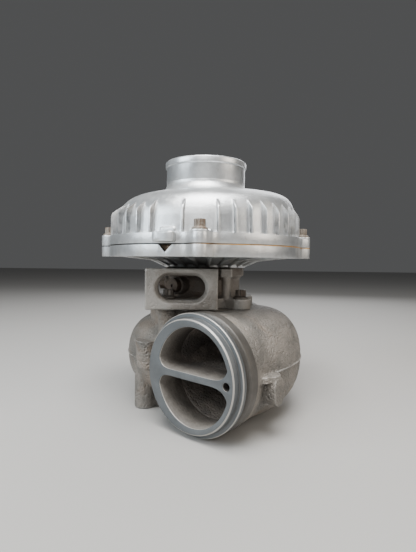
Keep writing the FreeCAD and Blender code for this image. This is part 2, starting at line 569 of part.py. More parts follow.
def make_cover():
    base_z = JOINT_Z + GASKET
    flange = lobed(FLANGE_R, LUG_PCD_R, LUG_R, 16.0, base_z, FLANGE_TOP, LUGS)
    lugs = [cyl(LUG_R - 0.3, FLANGE_TOP - 1, LUG_TOP, polar(LUG_PCD_R, LUGS[k])) for k in range(4)]
    lugs += [spun(plate([(-8.7, -LUG_PCD_R), (8.7, -LUG_PCD_R), (9.4, -99), (-9.4, -99)], FLANGE_TOP - 1, LUG_TOP),
                  LUG_PHI + 90 * k) for k in range(4)]
    # dome over the volute, higher toward the outlet
    wires = []
    for k in range(24):
        theta = 15.0 * k
        w = dome_weight(theta + 0.01)
        w = 0.25 * (dome_weight(theta - 14) + 2 * w + dome_weight(theta + 14))
        pts = [(mix(a[0], b[0], w), mix(a[1], b[1], w)) for a, b in zip(DOME_LOW, DOME_HIGH)]
        curve = Part.BSplineCurve()
        curve.interpolate([at_scroll(theta, r, z) for r, z in pts])
        (r0, z0), (r1, z1) = pts[0], pts[-1]
        lines = [Part.makeLine(at_scroll(theta, r1, z1), at_scroll(theta, 101.5, 184)),
                 Part.makeLine(at_scroll(theta, 101.5, 184), at_scroll(theta, 40, 184)),
                 Part.makeLine(at_scroll(theta, 40, 184), at_scroll(theta, r0, z0))]
        wires.append(Part.Wire([curve.toShape()] + lines))
    dome = Part.makeLoft(wires, True, False, True)
    core = cyl(41.0, 183, 232)
    snout = turn_curve([(0, 225), (54, 225)], [(54, 225), (53, 233)], [(53, 233), (47.5, 237.0), (SNOUT_R, 243.0)],
                       [(SNOUT_R, 243), (SNOUT_R, 262.0)], [(SNOUT_R, 262.0), (BEAD_R, 262.9)],
                       [(BEAD_R, 262.9), (BEAD_R, 268.2)], [(BEAD_R, 268.2), (SNOUT_R + 0.2, RIM_Z)],
                       [(SNOUT_R + 0.2, RIM_Z), (0, RIM_Z)])
    # outer ribs standing on the flange, left out at the lugs and above the front boss
    ribs = []
    for k in range(RIB_COUNT):
        phi = LUG_PHI + 9.0 * k
        if k % 10 == 0 or k == 38:
            continue
        w = dome_weight(phi - 90.0)
        top = (mix(89.0, 96.0, w), mix(220.0, 225.5, w))
        outline = [V(0, -96, 184), V(0, -106.0, 184), V(0, -105.6, 206.5), V(0, -104.0, 209.5),
                   V(0, -top[0], top[1]), V(0, -80, 200)]
        fin = Part.Face(Part.makePolygon(outline + outline[:1])).extrude(V(RIB_W, 0, 0))
        fin.translate(V(-RIB_W / 2, 0, 0))
        ribs.append(spun(fin, phi))
    # boss with a notch on the flange edge, and the tangential discharge
    boss = spun(fuse(block(-9.5, 9.5, -116.5, -98, 176.5, 184.5), block(-7, 7, -110, -98, 184, 189.5)), -20.0)
    boss = boss.cut(spun(block(-1.6, 1.6, -118, -113.5, 176, 185), -20.0))
    r_end = volute_r(360)
    cx, cz = 95.0 - r_end, 190.0 + r_end
    tube = Part.makeCone(25.5, OUT_R - 1.2, OUT_LEN - 26, V(cx, 0, cz), V(0, 1, 0))
    hose = rod(OUT_R - 1.2, V(cx, OUT_LEN - 27, cz), V(0, 1, 0), 27)
    bead = rod(OUT_R, V(cx, OUT_LEN - 6, cz), V(0, 1, 0), 6)
    shape = join(flange, *(lugs + [dome, core, snout, tube, hose, bead, boss] + ribs))
    # volute passage in two lofts, then the bored discharge
    circles = []
    for k in range(17):
        theta = 15.0 + 345.0 * k / 16
        r = volute_r(theta)
        rim = [at_scroll(theta, 95.0 - r + r * math.cos(2 * math.pi * j / 16), 190.0 + r + r * math.sin(
            2 * math.pi * j / 16)) for j in range(16)]
        circles.append(closed_spline(rim))
    cuts = [Part.makeLoft(circles[:9], True, False), Part.makeLoft(circles[8:], True, False)]
    cuts.append(Part.makeCone(r_end - 0.4, OUT_R - 4.5, OUT_LEN + 7, V(cx, -6, cz), V(0, 1, 0)))
    # register, diffuser roof, wheel contour and inlet bore
    cuts.append(turn_curve([(0, 170), (97.0, 170)], [(97.0, 170), (97.0, 180.4)], [(97.0, 180.4), (94.6, 181)],
                           [(94.6, 181), (94.6, 192)], [(94.6, 192), (78, 192)], [(78, 192), (75.5, ROOF_Z)],
                           [(75.5, ROOF_Z), (54.0, ROOF_Z)],
                           [(54.0, ROOF_Z), (50.2, 187.6), (46.0, 189.6), (42.2, 193.2), (39.2, 198.6), (37.4, 205.4),
                            (CW_EYE_R + 0.4, 213)], [(CW_EYE_R + 0.4, 213), (CW_EYE_R + 0.4, 222)],
                           [(CW_EYE_R + 0.4, 222), (38.2, 238), (40.6, 264)], [(40.6, 264), (43.4, RIM_Z + 0.1)],
                           [(43.4, RIM_Z + 0.1), (0, RIM_Z + 0.1)]))
    for k in range(4):
        cuts.append(cyl(5.1, 170, 190, polar(LUG_PCD_R, LUGS[k])))
    for c in cuts:
        shape = shape.cut(c)
    return shape


def make_compressor_wheel():
    hub_run = [(51.9, 180.6), (42, 181.6), (32, 184.6), (23.5, 190.0), (17, 197.6), (13.2, 206.0), (11.4, 214.0)]
    hub = turn_curve([(4.55, 177.6), (14, 177.6)], [(14, 177.6), (18, 178.2)], [(18, 178.2), (51.4, 178.6)],
                     [(51.4, 178.6), (51.9, 179.2)], hub_run, [(11.4, 214.0), (10.6, 215.4)],
                     [(10.6, 215.4), (4.55, 215.4)])
    shroud_run = [(CW_TIP_R, 186.5), (49.8, 187.3), (45.6, 189.3), (41.8, 192.9), (38.8, 198.3), (37.0, 205.1),
                  (CW_EYE_R, 212.6)]
    root = [(r - 0.6, z - 0.6) for r, z in hub_run]
    root[0] = (51.5, 180.0)
    root[-1] = (10.8, 212.6)

    def wrap(s):
        return 52.0 * s * s - 24.0 * (1 - s) ** 2
    full = blade(root, shroud_run, [wrap(k / 6.0) for k in range(7)], 1.1)
    short = blade(root[:5], shroud_run[:5], [wrap(k / 6.0) for k in range(5)], 1.1)
    blades = [spun(full, k * 360.0 / 7) for k in range(7)] + [spun(short, (k + 0.5) * 360.0 / 7) for k in range(7)]
    return fuse(hub, *blades).cut(cyl(4.55, 170, 230))


def make_locknut():
    points = []
    for k in range(24):
        r = 8.4 if k % 2 == 0 else 7.6
        points.append((r * math.cos(math.radians(15 * k)), r * math.sin(math.radians(15 * k))))
    nut = fuse(plate(points, 217.0, 222.6), turn((0, 215.4), (9.4, 215.4), (9.4, 216.4), (8.6, 217.4), (0, 217.4)))
    return nut.cut(cyl(STUB_R + 0.02, 210, 230))


NODES["compressor_cover"] = make_cover()
NODES["compressor_wheel"] = make_compressor_wheel()
NODES["wheel_locknut"] = make_locknut()

for name, shape in NODES.items():
    shape.exportStep("parts/" + name + ".step")
    box = shape.BoundBox
    print("%-28s solids %d valid %s  z %.1f..%.1f" % (name, len(shape.Solids), shape.isValid(), box.ZMin, box.ZMax))
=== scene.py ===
import math

import bmesh
import bpy
import numpy as np
from mathutils import Matrix, Vector, noise


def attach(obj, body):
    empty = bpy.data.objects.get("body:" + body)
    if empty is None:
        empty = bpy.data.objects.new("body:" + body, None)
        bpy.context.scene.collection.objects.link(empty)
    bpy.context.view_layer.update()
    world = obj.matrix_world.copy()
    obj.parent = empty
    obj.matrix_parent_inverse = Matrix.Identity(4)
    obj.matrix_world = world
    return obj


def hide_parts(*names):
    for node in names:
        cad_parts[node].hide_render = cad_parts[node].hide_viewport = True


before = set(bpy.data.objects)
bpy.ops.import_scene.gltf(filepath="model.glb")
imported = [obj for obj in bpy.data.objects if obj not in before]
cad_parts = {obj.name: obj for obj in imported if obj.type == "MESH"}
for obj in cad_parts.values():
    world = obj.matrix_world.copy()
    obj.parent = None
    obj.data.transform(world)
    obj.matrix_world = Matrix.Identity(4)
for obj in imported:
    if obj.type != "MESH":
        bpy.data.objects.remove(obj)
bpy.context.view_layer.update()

# ------------------------------------------------------------------ floor, light and camera
# The unit stands on its exhaust face on a plain pale floor.  A broad softbox hangs over
# it, with a cool window on the left, a warmer room side on the right and a fill behind.
FLOOR_COLOUR = (0.40, 0.392, 0.38, 1)
EYE = Vector((0.0, -0.4732, 0.160))
YAW, PITCH, ROLL = 0.008, 0.0388, 0.0119
LENS = 26.68
AIM = Vector((0.0, 0.0, 0.13))


def add(tree, kind, inputs=None, **settings):
    """A node with its settings, and its inputs set to values or linked from sockets."""
    made = tree.nodes.new(kind)
    for key, value in settings.items():
        setattr(made, key, value)
    for key, value in (inputs or {}).items():
        if isinstance(value, bpy.types.NodeSocket):
            tree.links.new(value, made.inputs[key])
        else:
            made.inputs[key].default_value = value
    return made


def material(name):
    """An empty node material and its output node."""
    made = bpy.data.materials.new(name)
    made.use_nodes = True
    made.node_tree.nodes.clear()
    return made, made.node_tree, made.node_tree.nodes.new("ShaderNodeOutputMaterial")


def mixed(tree, factor, first, second):
    """First colour turning into the second as factor goes from 0 to 1."""
    made = add(tree, "ShaderNodeMix", {0: factor, 6: first, 7: second}, data_type="RGBA")
    return made.outputs[2]


def ramp(tree, value, low, high, start=0.0, end=1.0):
    """Value taken smoothly from start at low to end at high."""
    made = add(tree, "ShaderNodeMapRange", {0: value, 1: low, 2: high, 3: start, 4: end},
               interpolation_type="SMOOTHSTEP")
    return made.outputs[0]


def maths(tree, operation, first, second=0.0):
    return add(tree, "ShaderNodeMath", {0: first, 1: second}, operation=operation).outputs[0]


def floor_paint():
    made, tree, out = material("floor_paint")
    place = add(tree, "ShaderNodeTexCoord").outputs["Object"]
    cloud = add(tree, "ShaderNodeTexNoise", {"Vector": place, "Scale": 3.0, "Detail": 4.0})
    tint = mixed(tree, cloud.outputs["Fac"], FLOOR_COLOUR,
                 tuple(c * 0.94 for c in FLOOR_COLOUR[:3]) + (1,))
    body = add(tree, "ShaderNodeBsdfPrincipled", {"Base Color": tint, "Roughness": 0.72})
    tree.links.new(body.outputs[0], out.inputs[0])
    return made


def mesh_object(name, mesh):
    made = bpy.data.objects.new(name, mesh)
    bpy.context.scene.collection.objects.link(made)
    return made


def soft_light(name, place, size, power, colour):
    lamp = bpy.data.lights.new(name, "AREA")
    lamp.shape = "SQUARE"
    lamp.size, lamp.energy, lamp.color = size, power, colour
    holder = mesh_object(name, lamp)
    holder.location = place
    holder.rotation_euler = (AIM - Vector(place)).to_track_quat("-Z", "Y").to_euler()


ground = bpy.data.meshes.new("floor")
ground.from_pydata([(-6, -6, 0), (6, -6, 0), (6, 6, 0), (-6, 6, 0)], [], [(0, 1, 2, 3)])
ground.materials.append(floor_paint())
mesh_object("floor", ground)

soft_light("overhead", (-0.05, -0.42, 1.20), 0.75, 31.0, (1.0, 0.99, 0.97))
soft_light("camera_side", (-0.15, -1.45, 0.80), 0.9, 7.0, (1.0, 0.985, 0.96))
soft_light("window_side", (-1.0, -0.55, 0.62), 0.7, 12.0, (0.85, 0.94, 1.0))
soft_light("room_side", (1.0, -0.45, 0.55), 0.6, 4.5, (1.0, 0.90, 0.78))
soft_light("back_fill", (0.25, 1.1, 0.8), 1.0, 8.0, (0.97, 0.98, 1.0))

world = bpy.data.worlds.new("studio")
world.use_nodes = True
world.node_tree.nodes["Background"].inputs[0].default_value = (0.78, 0.79, 0.80, 1)
world.node_tree.nodes["Background"].inputs[1].default_value = 0.11
bpy.context.scene.world = world

ahead = Vector((math.sin(YAW) * math.cos(PITCH), math.cos(YAW) * math.cos(PITCH), -math.sin(PITCH)))
level = Vector((math.cos(YAW), -math.sin(YAW), 0.0))
upright = level.cross(ahead)
right = math.cos(ROLL) * level + math.sin(ROLL) * upright
above = -math.sin(ROLL) * level + math.cos(ROLL) * upright
lens = bpy.data.cameras.new("camera")
lens.lens = LENS
lens.clip_start = 0.01
camera = mesh_object("camera", lens)
camera.matrix_world = Matrix.Translation(EYE) @ Matrix((right, above, -ahead)).transposed().to_4x4()
bpy.context.scene.camera = camera


# ------------------------------------------------------------------ turbine housing
# One grey-iron sand casting: twin-port inlet duct, scroll, exhaust boss and bolt bosses.
# The skin keeps the grain of the sand; only the joint faces are machined.
MM = 0.001
INLET = Vector((-9.786, -109.419, 56.4)) * MM
DUCT = Vector((0.65606, 0.75471, 0.0))
OUTWARD = Vector((0.75471, -0.65606, 0.0))
UP = Vector((0.0, 0.0, 1.0))
SCROLL_VOXEL, SCROLL_FACES = 1.25 * MM, 150000
IRON_LIGHT, IRON_DARK = (0.285, 0.26, 0.232, 1), (0.14, 0.132, 0.12, 1)
SOOT = (0.050, 0.043, 0.038, 1)
BAKED_SOOT = (0.15, 0.125, 0.105, 1)
SAND_SPECK, BROWN_DIRT = (0.40, 0.375, 0.34, 1), (0.24, 0.175, 0.125, 1)
CREVICE_SHADE_IRON, RUBBED_HIGHLIGHT_IRON = (0.12, 0.10, 0.085, 1), (0.50, 0.49, 0.47, 1)
FACED_DARK, FACED_LIGHT = (0.30, 0.30, 0.29, 1), (0.42, 0.42, 0.41, 1)
BROAD_RIPPLE, FINE_RIPPLE = 95.0, 240.0


def begin_group(name, inputs, outputs):
    """A shader node group with float or vector sockets, given as {name: default}."""
    tree = bpy.data.node_groups.new(name, "ShaderNodeTree")
    for key, value in inputs.items():
        kind = "NodeSocketVector" if isinstance(value, tuple) else "NodeSocketFloat"
        tree.interface.new_socket(key, in_out="INPUT", socket_type=kind).default_value = value
    for key in outputs:
        tree.interface.new_socket(key, in_out="OUTPUT", socket_type="NodeSocketFloat")
    return tree, tree.nodes.new("NodeGroupInput").outputs, tree.nodes.new("NodeGroupOutput").inputs


def placed(tree, group, **inputs):
    """The group's outputs, once it is placed in a material with its own values."""
    made = add(tree, "ShaderNodeGroup", node_tree=group)
    for key, value in inputs.items():
        socket = made.inputs[key.replace("_", " ").title()]
        if isinstance(value, bpy.types.NodeSocket):
            tree.links.new(value, socket)
        else:
            socket.default_value = value
    return made.outputs


def sand_skin_group():
    """Grain of the mould sand: Height for the bump, Mottle for broad colour drift."""
    tree, given, out = begin_group("sand_skin", {"Grain": 900.0, "Pits": 0.4},
                                   ["Height", "Mottle", "Speck"])
    place = add(tree, "ShaderNodeTexCoord").outputs["Object"]
    fine = add(tree, "ShaderNodeTexNoise", {"Vector": place, "Scale": given["Grain"], "Detail": 5.0,
                                            "Roughness": 0.7}).outputs["Fac"]
    pitch = maths(tree, "MULTIPLY", given["Grain"], 0.55)
    cell = add(tree, "ShaderNodeTexVoronoi", {"Vector": place, "Scale": pitch},
               feature="SMOOTH_F1").outputs["Distance"]
    pit = maths(tree, "MULTIPLY", ramp(tree, cell, 0.05, 0.5), given["Pits"])
    tree.links.new(maths(tree, "ADD", fine, pit), out["Height"])
    wide = add(tree, "ShaderNodeTexNoise", {"Vector": place,
                                            "Scale": maths(tree, "MULTIPLY", given["Grain"], 0.045),
                                            "Detail": 5.0, "Roughness": 0.62}).outputs["Fac"]
    tree.links.new(ramp(tree, wide, 0.34, 0.68), out["Mottle"])
    tree.links.new(ramp(tree, fine, 0.56, 0.74), out["Speck"])
    return tree


def turned_group():
    """Tool marks of a lathe about an axis, broad bands of painted sheen across them, and how far a
    point is along it and out from it.
    """
    tree, given, out = begin_group("turned_marks", {"Centre": (0.0, 0.0, 0.0),
                                                    "Axis": (0.0, 0.0, 1.0), "Pitch": 0.0004},
                                   ["Height", "Sheen_Band", "Along", "Radius"])
    place = add(tree, "ShaderNodeTexCoord").outputs["Object"]
    arm = add(tree, "ShaderNodeVectorMath", {0: place, 1: given["Centre"]},
              operation="SUBTRACT").outputs[0]
    along = add(tree, "ShaderNodeVectorMath", {0: arm, 1: given["Axis"]},
                operation="DOT_PRODUCT").outputs["Value"]
    side = add(tree, "ShaderNodeVectorMath", {0: arm, 1: given["Axis"]},
               operation="CROSS_PRODUCT").outputs[0]
    radius = add(tree, "ShaderNodeVectorMath", {0: side}, operation="LENGTH").outputs["Value"]
    x = maths(tree, "DIVIDE", radius, given["Pitch"])
    y = maths(tree, "DIVIDE", along, given["Pitch"])
    flat = add(tree, "ShaderNodeCombineXYZ", {0: x, 1: y}).outputs[0]
    marks = add(tree, "ShaderNodeTexNoise", {"Vector": flat, "Scale": 1.0, "Detail": 3.0},
                noise_dimensions="2D")
    broad = add(tree, "ShaderNodeTexNoise", {"Vector": flat, "Scale": 0.12, "Detail": 2.0},
                noise_dimensions="2D")
    tree.links.new(marks.outputs["Fac"], out["Height"])
    tree.links.new(ramp(tree, broad.outputs["Fac"], 0.35, 0.65), out["Sheen_Band"])
    tree.links.new(along, out["Along"])
    tree.links.new(radius, out["Radius"])
    return tree


def edge_and_crevice_group():
    """Edge where the skin is rubbed bright, partly as a painted highlight; Crevice_Shade where
    hollows take painted shade.
    """
    tree, given, out = begin_group("edge_and_crevice", {"Reach": 0.06, "Breaks": 160.0},
                                   ["Edge", "Crevice_Shade"])
    place = add(tree, "ShaderNodeTexCoord").outputs["Object"]
    bend = add(tree, "ShaderNodeNewGeometry").outputs["Pointiness"]
    chips = add(tree, "ShaderNodeTexNoise", {"Vector": place, "Scale": given["Breaks"],
                                             "Detail": 4.0}).outputs["Fac"]
    high = ramp(tree, bend, 0.51, maths(tree, "ADD", given["Reach"], 0.51))
    low = ramp(tree, bend, 0.49, maths(tree, "SUBTRACT", 0.49, given["Reach"]))
    tree.links.new(maths(tree, "MULTIPLY", high, ramp(tree, chips, 0.3, 0.6)), out["Edge"])
    tree.links.new(low, out["Crevice_Shade"])
    return tree


def stains_group():
    """Patches of oil, rust or dirt."""
    tree, given, out = begin_group("stains", {"Scale": 30.0, "Cover": 0.4}, ["Patch", "Spatter"])
    place = add(tree, "ShaderNodeTexCoord").outputs["Object"]
    cloud = add(tree, "ShaderNodeTexNoise", {"Vector": place, "Scale": given["Scale"],
                                             "Detail": 7.0, "Roughness": 0.62,
                                             "Distortion": 0.6}).outputs["Fac"]
    edge = maths(tree, "SUBTRACT", 0.78, maths(tree, "MULTIPLY", given["Cover"], 0.5))
    tree.links.new(ramp(tree, cloud, maths(tree, "SUBTRACT", edge, 0.09),
                        maths(tree, "ADD", edge, 0.09)), out["Patch"])
    drops = add(tree, "ShaderNodeTexNoise", {"Vector": place,
                                             "Scale": maths(tree, "MULTIPLY", given["Scale"], 11.0),
                                             "Detail": 3.0}).outputs["Fac"]
    tree.links.new(ramp(tree, drops, 0.60, 0.72), out["Spatter"])
    return tree


SAND_SKIN, TURNED = sand_skin_group(), turned_group()
EDGE_AND_CREVICE, STAINS = edge_and_crevice_group(), stains_group()


def both(tree, first, second):
    """Overlap of two masks."""
    return maths(tree, "MULTIPLY", first, second)


def layered(tree, tint, *layers):
    """Colours laid over a tint, each given as (mask, strength, colour)."""
    for mask, strength, colour in layers:
        tint = mixed(tree, both(tree, mask, strength), tint, colour)
    return tint


def surface(tree, out, tint, rough, metal, height, strength, distance):
    """The surface that a material ends in, with its relief in metres as a bump."""
    relief = add(tree, "ShaderNodeBump", {"Height": height, "Strength": strength,
                                          "Distance": distance})
    body = add(tree, "ShaderNodeBsdfPrincipled", {"Base Color": tint, "Roughness": rough,
                                                  "Metallic": metal, "Normal": relief.outputs[0]})
    tree.links.new(body.outputs[0], out.inputs[0])


def iron_casting():
    """Sand-cast iron, sooty inside the gas ports and the exhaust, machined on its two end faces."""
    made, tree, out = material("turbine_iron")
    skin = placed(tree, SAND_SKIN, grain=680.0, pits=0.6)
    edges_and_crevices = placed(tree, EDGE_AND_CREVICE, reach=0.05, breaks=140.0)
    dirt = placed(tree, STAINS, scale=26.0, cover=0.35)
    duct = placed(tree, TURNED, centre=tuple(INLET), axis=tuple(DUCT), pitch=0.0004)
    shaft = placed(tree, TURNED, centre=(0.0, 0.0, 0.0), axis=(0.0, 0.0, 1.0), pitch=0.00045)
    tint = mixed(tree, skin["Mottle"], IRON_DARK, IRON_LIGHT)
    # The crevice colour is painted shade in the hollows; the edge colour is rubbed iron, partly a
    # painted highlight.
    tint = layered(tree, tint, (skin["Speck"], 0.6, SAND_SPECK), (dirt["Patch"], 0.45, BROWN_DIRT),
                   (edges_and_crevices["Crevice_Shade"], 0.6, CREVICE_SHADE_IRON), (edges_and_crevices["Edge"], 0.55, RUBBED_HIGHLIGHT_IRON))
    in_port = both(tree, ramp(tree, duct["Radius"], 49.5 * MM, 47.0 * MM),
                   ramp(tree, duct["Along"], 80 * MM, 50 * MM))
    in_bore = both(tree, ramp(tree, shaft["Radius"], 47.5 * MM, 45.8 * MM),
                   ramp(tree, shaft["Along"], 0.2 * MM, 6 * MM))
    burnt = maths(tree, "MAXIMUM", in_port, in_bore)
    tint = mixed(tree, burnt, tint, mixed(tree, skin["Mottle"], SOOT, BAKED_SOOT))
    # The faced end is painted in broad lighter and darker bands: painted sheen of the turned face.
    faced = ramp(tree, shaft["Along"], 0.9 * MM, 0.25 * MM)
    tint = mixed(tree, faced, tint, mixed(tree, shaft["Sheen_Band"], FACED_DARK, FACED_LIGHT))
    rough = maths(tree, "ADD", 0.50, maths(tree, "MULTIPLY", skin["Mottle"], 0.16))
    rough = maths(tree, "ADD", rough, maths(tree, "MULTIPLY", burnt, 0.2))
    metal = maths(tree, "MULTIPLY", maths(tree, "SUBTRACT", 1.0, burnt), 0.45)
    surface(tree, out, tint, rough, metal, skin["Height"], 1.0, 0.0013)
    return made


def built(name, shape):
    """A scene object made from a bmesh, which is freed."""
    mesh = bpy.data.meshes.new(name)
    shape.to_mesh(mesh)
    shape.free()
    return mesh_object(name, mesh)


def welded(node):
    """A bmesh copy of a frame solid, closed along its seams."""
    shape = bmesh.new()
    shape.from_mesh(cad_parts[node].data)
    bmesh.ops.remove_doubles(shape, verts=shape.verts, dist=2e-6)
    return shape


def settled(piece):
    """Applies the modifiers of a piece to its mesh."""
    bpy.context.view_layer.update()
    ready = piece.evaluated_get(bpy.context.evaluated_depsgraph_get())
    final = bpy.data.meshes.new_from_object(ready)
    piece.modifiers.clear()
    piece.data = final
    return piece


def cut_away(piece, cutters):
    """Takes the cutters out of a piece."""
    for cutter in cutters:
        cut = piece.modifiers.new("cut", "BOOLEAN")
        cut.operation, cut.solver, cut.object = "DIFFERENCE", "EXACT", cutter
        settled(piece)
        bpy.data.objects.remove(cutter)
    return piece


def filleted(piece, voxel, smoothing):
    """Remeshes a piece and smooths it, so that its parts run into each other."""
    remesh = piece.modifiers.new("skin", "REMESH")
    remesh.mode, remesh.voxel_size = "VOXEL", voxel
    soft = piece.modifiers.new("fillet", "SMOOTH")
    soft.factor, soft.iterations = 0.5, smoothing
    return settled(piece)


def casting(name, node, voxel, faces, smoothing, cutters=(), ripple=0.00012):
    """A frame solid as a casting: filleted where its parts meet, with a slightly uneven skin."""
    piece = filleted(cut_away(built(name, welded(node)), cutters), voxel, smoothing)
    count = len(piece.data.vertices)
    place = np.empty(count * 3, np.float32)
    facing = np.empty(count * 3, np.float32)
    piece.data.vertices.foreach_get("co", place)
    piece.data.vertices.foreach_get("normal", facing)
    place, facing = place.reshape(-1, 3), facing.reshape(-1, 3)
    lift = np.array([noise.noise(Vector(p) * BROAD_RIPPLE)
                     + 0.5 * noise.noise(Vector(p) * FINE_RIPPLE) for p in place])
    place += facing * (lift * ripple)[:, None]
    place[:, 2] = np.maximum(place[:, 2], 0.0)
    piece.data.vertices.foreach_set("co", place.ravel())
    triangles = sum(len(f.vertices) - 2 for f in piece.data.polygons)
    if triangles > faces:
        thin = piece.modifiers.new("thin", "DECIMATE")
        thin.ratio = faces / triangles
        settled(piece)
    piece.data.shade_smooth()
    return piece


def banded(shape, rows):
    """Faces between each closed row of vertices and the next."""
    for a, b in zip(rows, rows[1:]):
        for j in range(len(a)):
            k = (j + 1) % len(a)
            shape.faces.new((a[j], b[j], b[k], a[k]))


def lathe(name, outline, centre, axis, steps=160):
    """A closed outline of (radius, distance along) points turned about an axis, in mm."""
    across = (axis.cross(UP) if abs(axis.z) < 0.9 else Vector((1, 0, 0))).normalized()
    other = axis.cross(across)
    shape = bmesh.new()
    rings = []
    for k in range(steps):
        t = 2 * math.pi * k / steps
        spoke = across * math.cos(t) + other * math.sin(t)
        rings.append([shape.verts.new(centre + (spoke * r + axis * s) * MM) for r, s in outline])
    banded(shape, rings + rings[:1])
    bmesh.ops.remove_doubles(shape, verts=shape.verts, dist=1e-7)
    bmesh.ops.recalc_face_normals(shape, faces=shape.faces)
    return built(name, shape)


def crisp(piece, width=0.0004, angle=35.0):
    """Breaks the machined edges of a piece with a small chamfer and shades the rest smooth."""
    edge = piece.modifiers.new("edge", "BEVEL")
    edge.width, edge.segments, edge.limit_method = width, 2, "ANGLE"
    edge.angle_limit = math.radians(angle)
    edge.harden_normals = False
    settled(piece)
    piece.data.shade_smooth()
    piece.data.set_sharp_from_angle(angle=math.radians(angle))
    return piece


def prism(name, first, last, origin, across, up, start, end):
    """A solid between two outlines of (across, up) points in mm, set square to their planes."""
    along = up.cross(across)
    shape = bmesh.new()
    near, far = [[shape.verts.new(origin + (across * x + up * y + along * s) * MM)
                  for x, y in outline]
                 for outline, s in ((first, start), (last, end))]
    shape.faces.new(near)
    shape.faces.new(far[::-1])
    banded(shape, [near, far])
    bmesh.ops.recalc_face_normals(shape, faces=shape.faces)
    return built(name, shape)


flange_space = lathe("flange_space", [(0, -12), (58, -12), (58, 5.8), (52.2, 5.8), (52.2, 10.2),
                                      (49.9, 10.2), (49.9, 21.5), (0, 21.5)], INLET, DUCT, 96)
LUG_SPACE = [(53.2, -30), (66, -30), (66, 4), (53.2, 4)]
lug_space = prism("lug_space", LUG_SPACE, LUG_SPACE, INLET, OUTWARD, UP, 29, 58)
scroll = casting("turbine_scroll", "turbine_housing", SCROLL_VOXEL, SCROLL_FACES, 3,
                 [flange_space, lug_space])
scroll.data.materials.clear()
scroll.data.materials.append(iron_casting())
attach(scroll, "core")
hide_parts("turbine_housing")


# ------------------------------------------------------------------ parting flash
# The thin fin of iron that the two mould halves left all round the scroll at mid height,
# knocked off roughly, so it varies in height and leans a little.
FLASH_HALF, FLASH_PROUD, FLASH_ROOT, FLASH_TIP = 0.85, 1.25, 1.4, 0.32
SCROLL_R, SCROLL_SHRINK, SCROLL_FROM = 109.5, 0.1176, -13
DUCT_R, DUCT_TAPER, TAPER_FROM = 52.0, 0.033, 14


def scroll_edge(theta):
    """A point of the scroll's widest line and the way out from it; theta in degrees."""
    t = math.radians(theta)
    spoke = Vector((math.cos(t), math.sin(t), 0.0))
    return spoke * (SCROLL_R - SCROLL_SHRINK * (theta - SCROLL_FROM)) * MM + UP * INLET.z, spoke


def duct_edge(along):
    """The same on the outer side of the inlet duct, at a distance behind its face in mm."""
    radius = DUCT_R - DUCT_TAPER * max(0.0, along - TAPER_FROM)
    return INLET + (DUCT * along + OUTWARD * radius) * MM, OUTWARD


def parting_flash():
    line = [duct_edge(s) for s in range(22, 66, 3)]
    line += [scroll_edge(t) for t in np.arange(-41.0, 286.0, 2.5)]
    shape = bmesh.new()
    rows = []
    for k, (point, out) in enumerate(line):
        wander = noise.noise(Vector((k * 0.45, 3.1, 0.0)))
        proud = FLASH_PROUD * (0.78 + 0.45 * wander)
        lean = 0.35 * noise.noise(Vector((k * 0.3, 9.7, 0.0)))
        end = min(1.0, k / 3.0, (len(line) - 1 - k) / 3.0)
        section = [(-FLASH_ROOT, -FLASH_HALF * 1.5), (0.15, -FLASH_HALF),
                   (proud * end * 0.85, lean - FLASH_TIP),
                   (proud * end, lean), (proud * end * 0.85, lean + FLASH_TIP), (0.15, FLASH_HALF),
                   (-FLASH_ROOT, FLASH_HALF * 1.5)]
        rows.append([shape.verts.new(point + (out * a + UP * b) * MM) for a, b in section])
    for a, b in zip(rows, rows[1:]):
        for j in range(len(a)):
            i = (j + 1) % len(a)
            shape.faces.new((a[j], a[i], b[i], b[j]))
    shape.faces.new(rows[0][::-1])
    shape.faces.new(rows[-1])
    bmesh.ops.recalc_face_normals(shape, faces=shape.faces)
    return built("parting_flash", shape)


flash = parting_flash()
flash.data.materials.append(scroll.data.materials[0])
flash.data.shade_smooth()
flash.data.set_sharp_from_angle(angle=math.radians(50))
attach(flash, "core")


# ------------------------------------------------------------------ casting lug and tie
# Two lumps cast on the scroll: a shelf with a hanging tongue beside the duct, to clamp and
# lift the housing by, and a block that ties the inlet flange to the end of the scroll.
SHELF = [(31, 49), (32.5, 57), (39, 57.5), (43.5, 61.8), (52, 61.2), (57.5, 56), (57.5, 49)]
TONGUE = [(39.5, -1), (56, -1), (56.6, -18), (54.4, -25), (48, -28), (41.6, -25), (39, -18)]
LUMP_VOXEL = 0.7 * MM
TIE = [(-72.5, -40), (-71, -57), (-61, -66.5), (-51, -63), (-44, -42)]


def rounded(points, times=3):
    """A closed outline with its corners cut again and again."""
    for _ in range(times):
        pairs = zip(points, points[1:] + points[:1])
        points = [p for a, b in pairs
                  for p in ((a[0] * 0.75 + b[0] * 0.25, a[1] * 0.75 + b[1] * 0.25),
                            (a[0] * 0.25 + b[0] * 0.75, a[1] * 0.25 + b[1] * 0.75))]
    return points


def joined(name, parts):
    """Several meshes as one piece."""
    shape = bmesh.new()
    for part in parts:
        shape.from_mesh(part.data)
        bpy.data.objects.remove(part)
    return built(name, shape)


shelf = prism("shelf", rounded(SHELF, 1), rounded([(s, o - 0.8) for s, o in SHELF], 1), INLET, DUCT,
              OUTWARD, -4.2, 1.6)
tongue = prism("tongue", rounded([(s * 0.93 + 3.4, z * 0.96) for s, z in TONGUE], 2),
               rounded(TONGUE, 2), INLET, DUCT, UP,
               -61.6, -46)
tie = prism("tie", rounded(TIE, 2), rounded([(x * 0.97, y * 0.97) for x, y in TIE], 2), Vector(),
            Vector((1, 0, 0)), Vector((0, 1, 0)), -77, -49)
lumps = joined("casting_lug_and_tie", [shelf, tongue, tie])
filleted(lumps, LUMP_VOXEL, 5).data.shade_smooth()
lumps.data.materials.append(scroll.data.materials[0])
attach(lumps, "core")


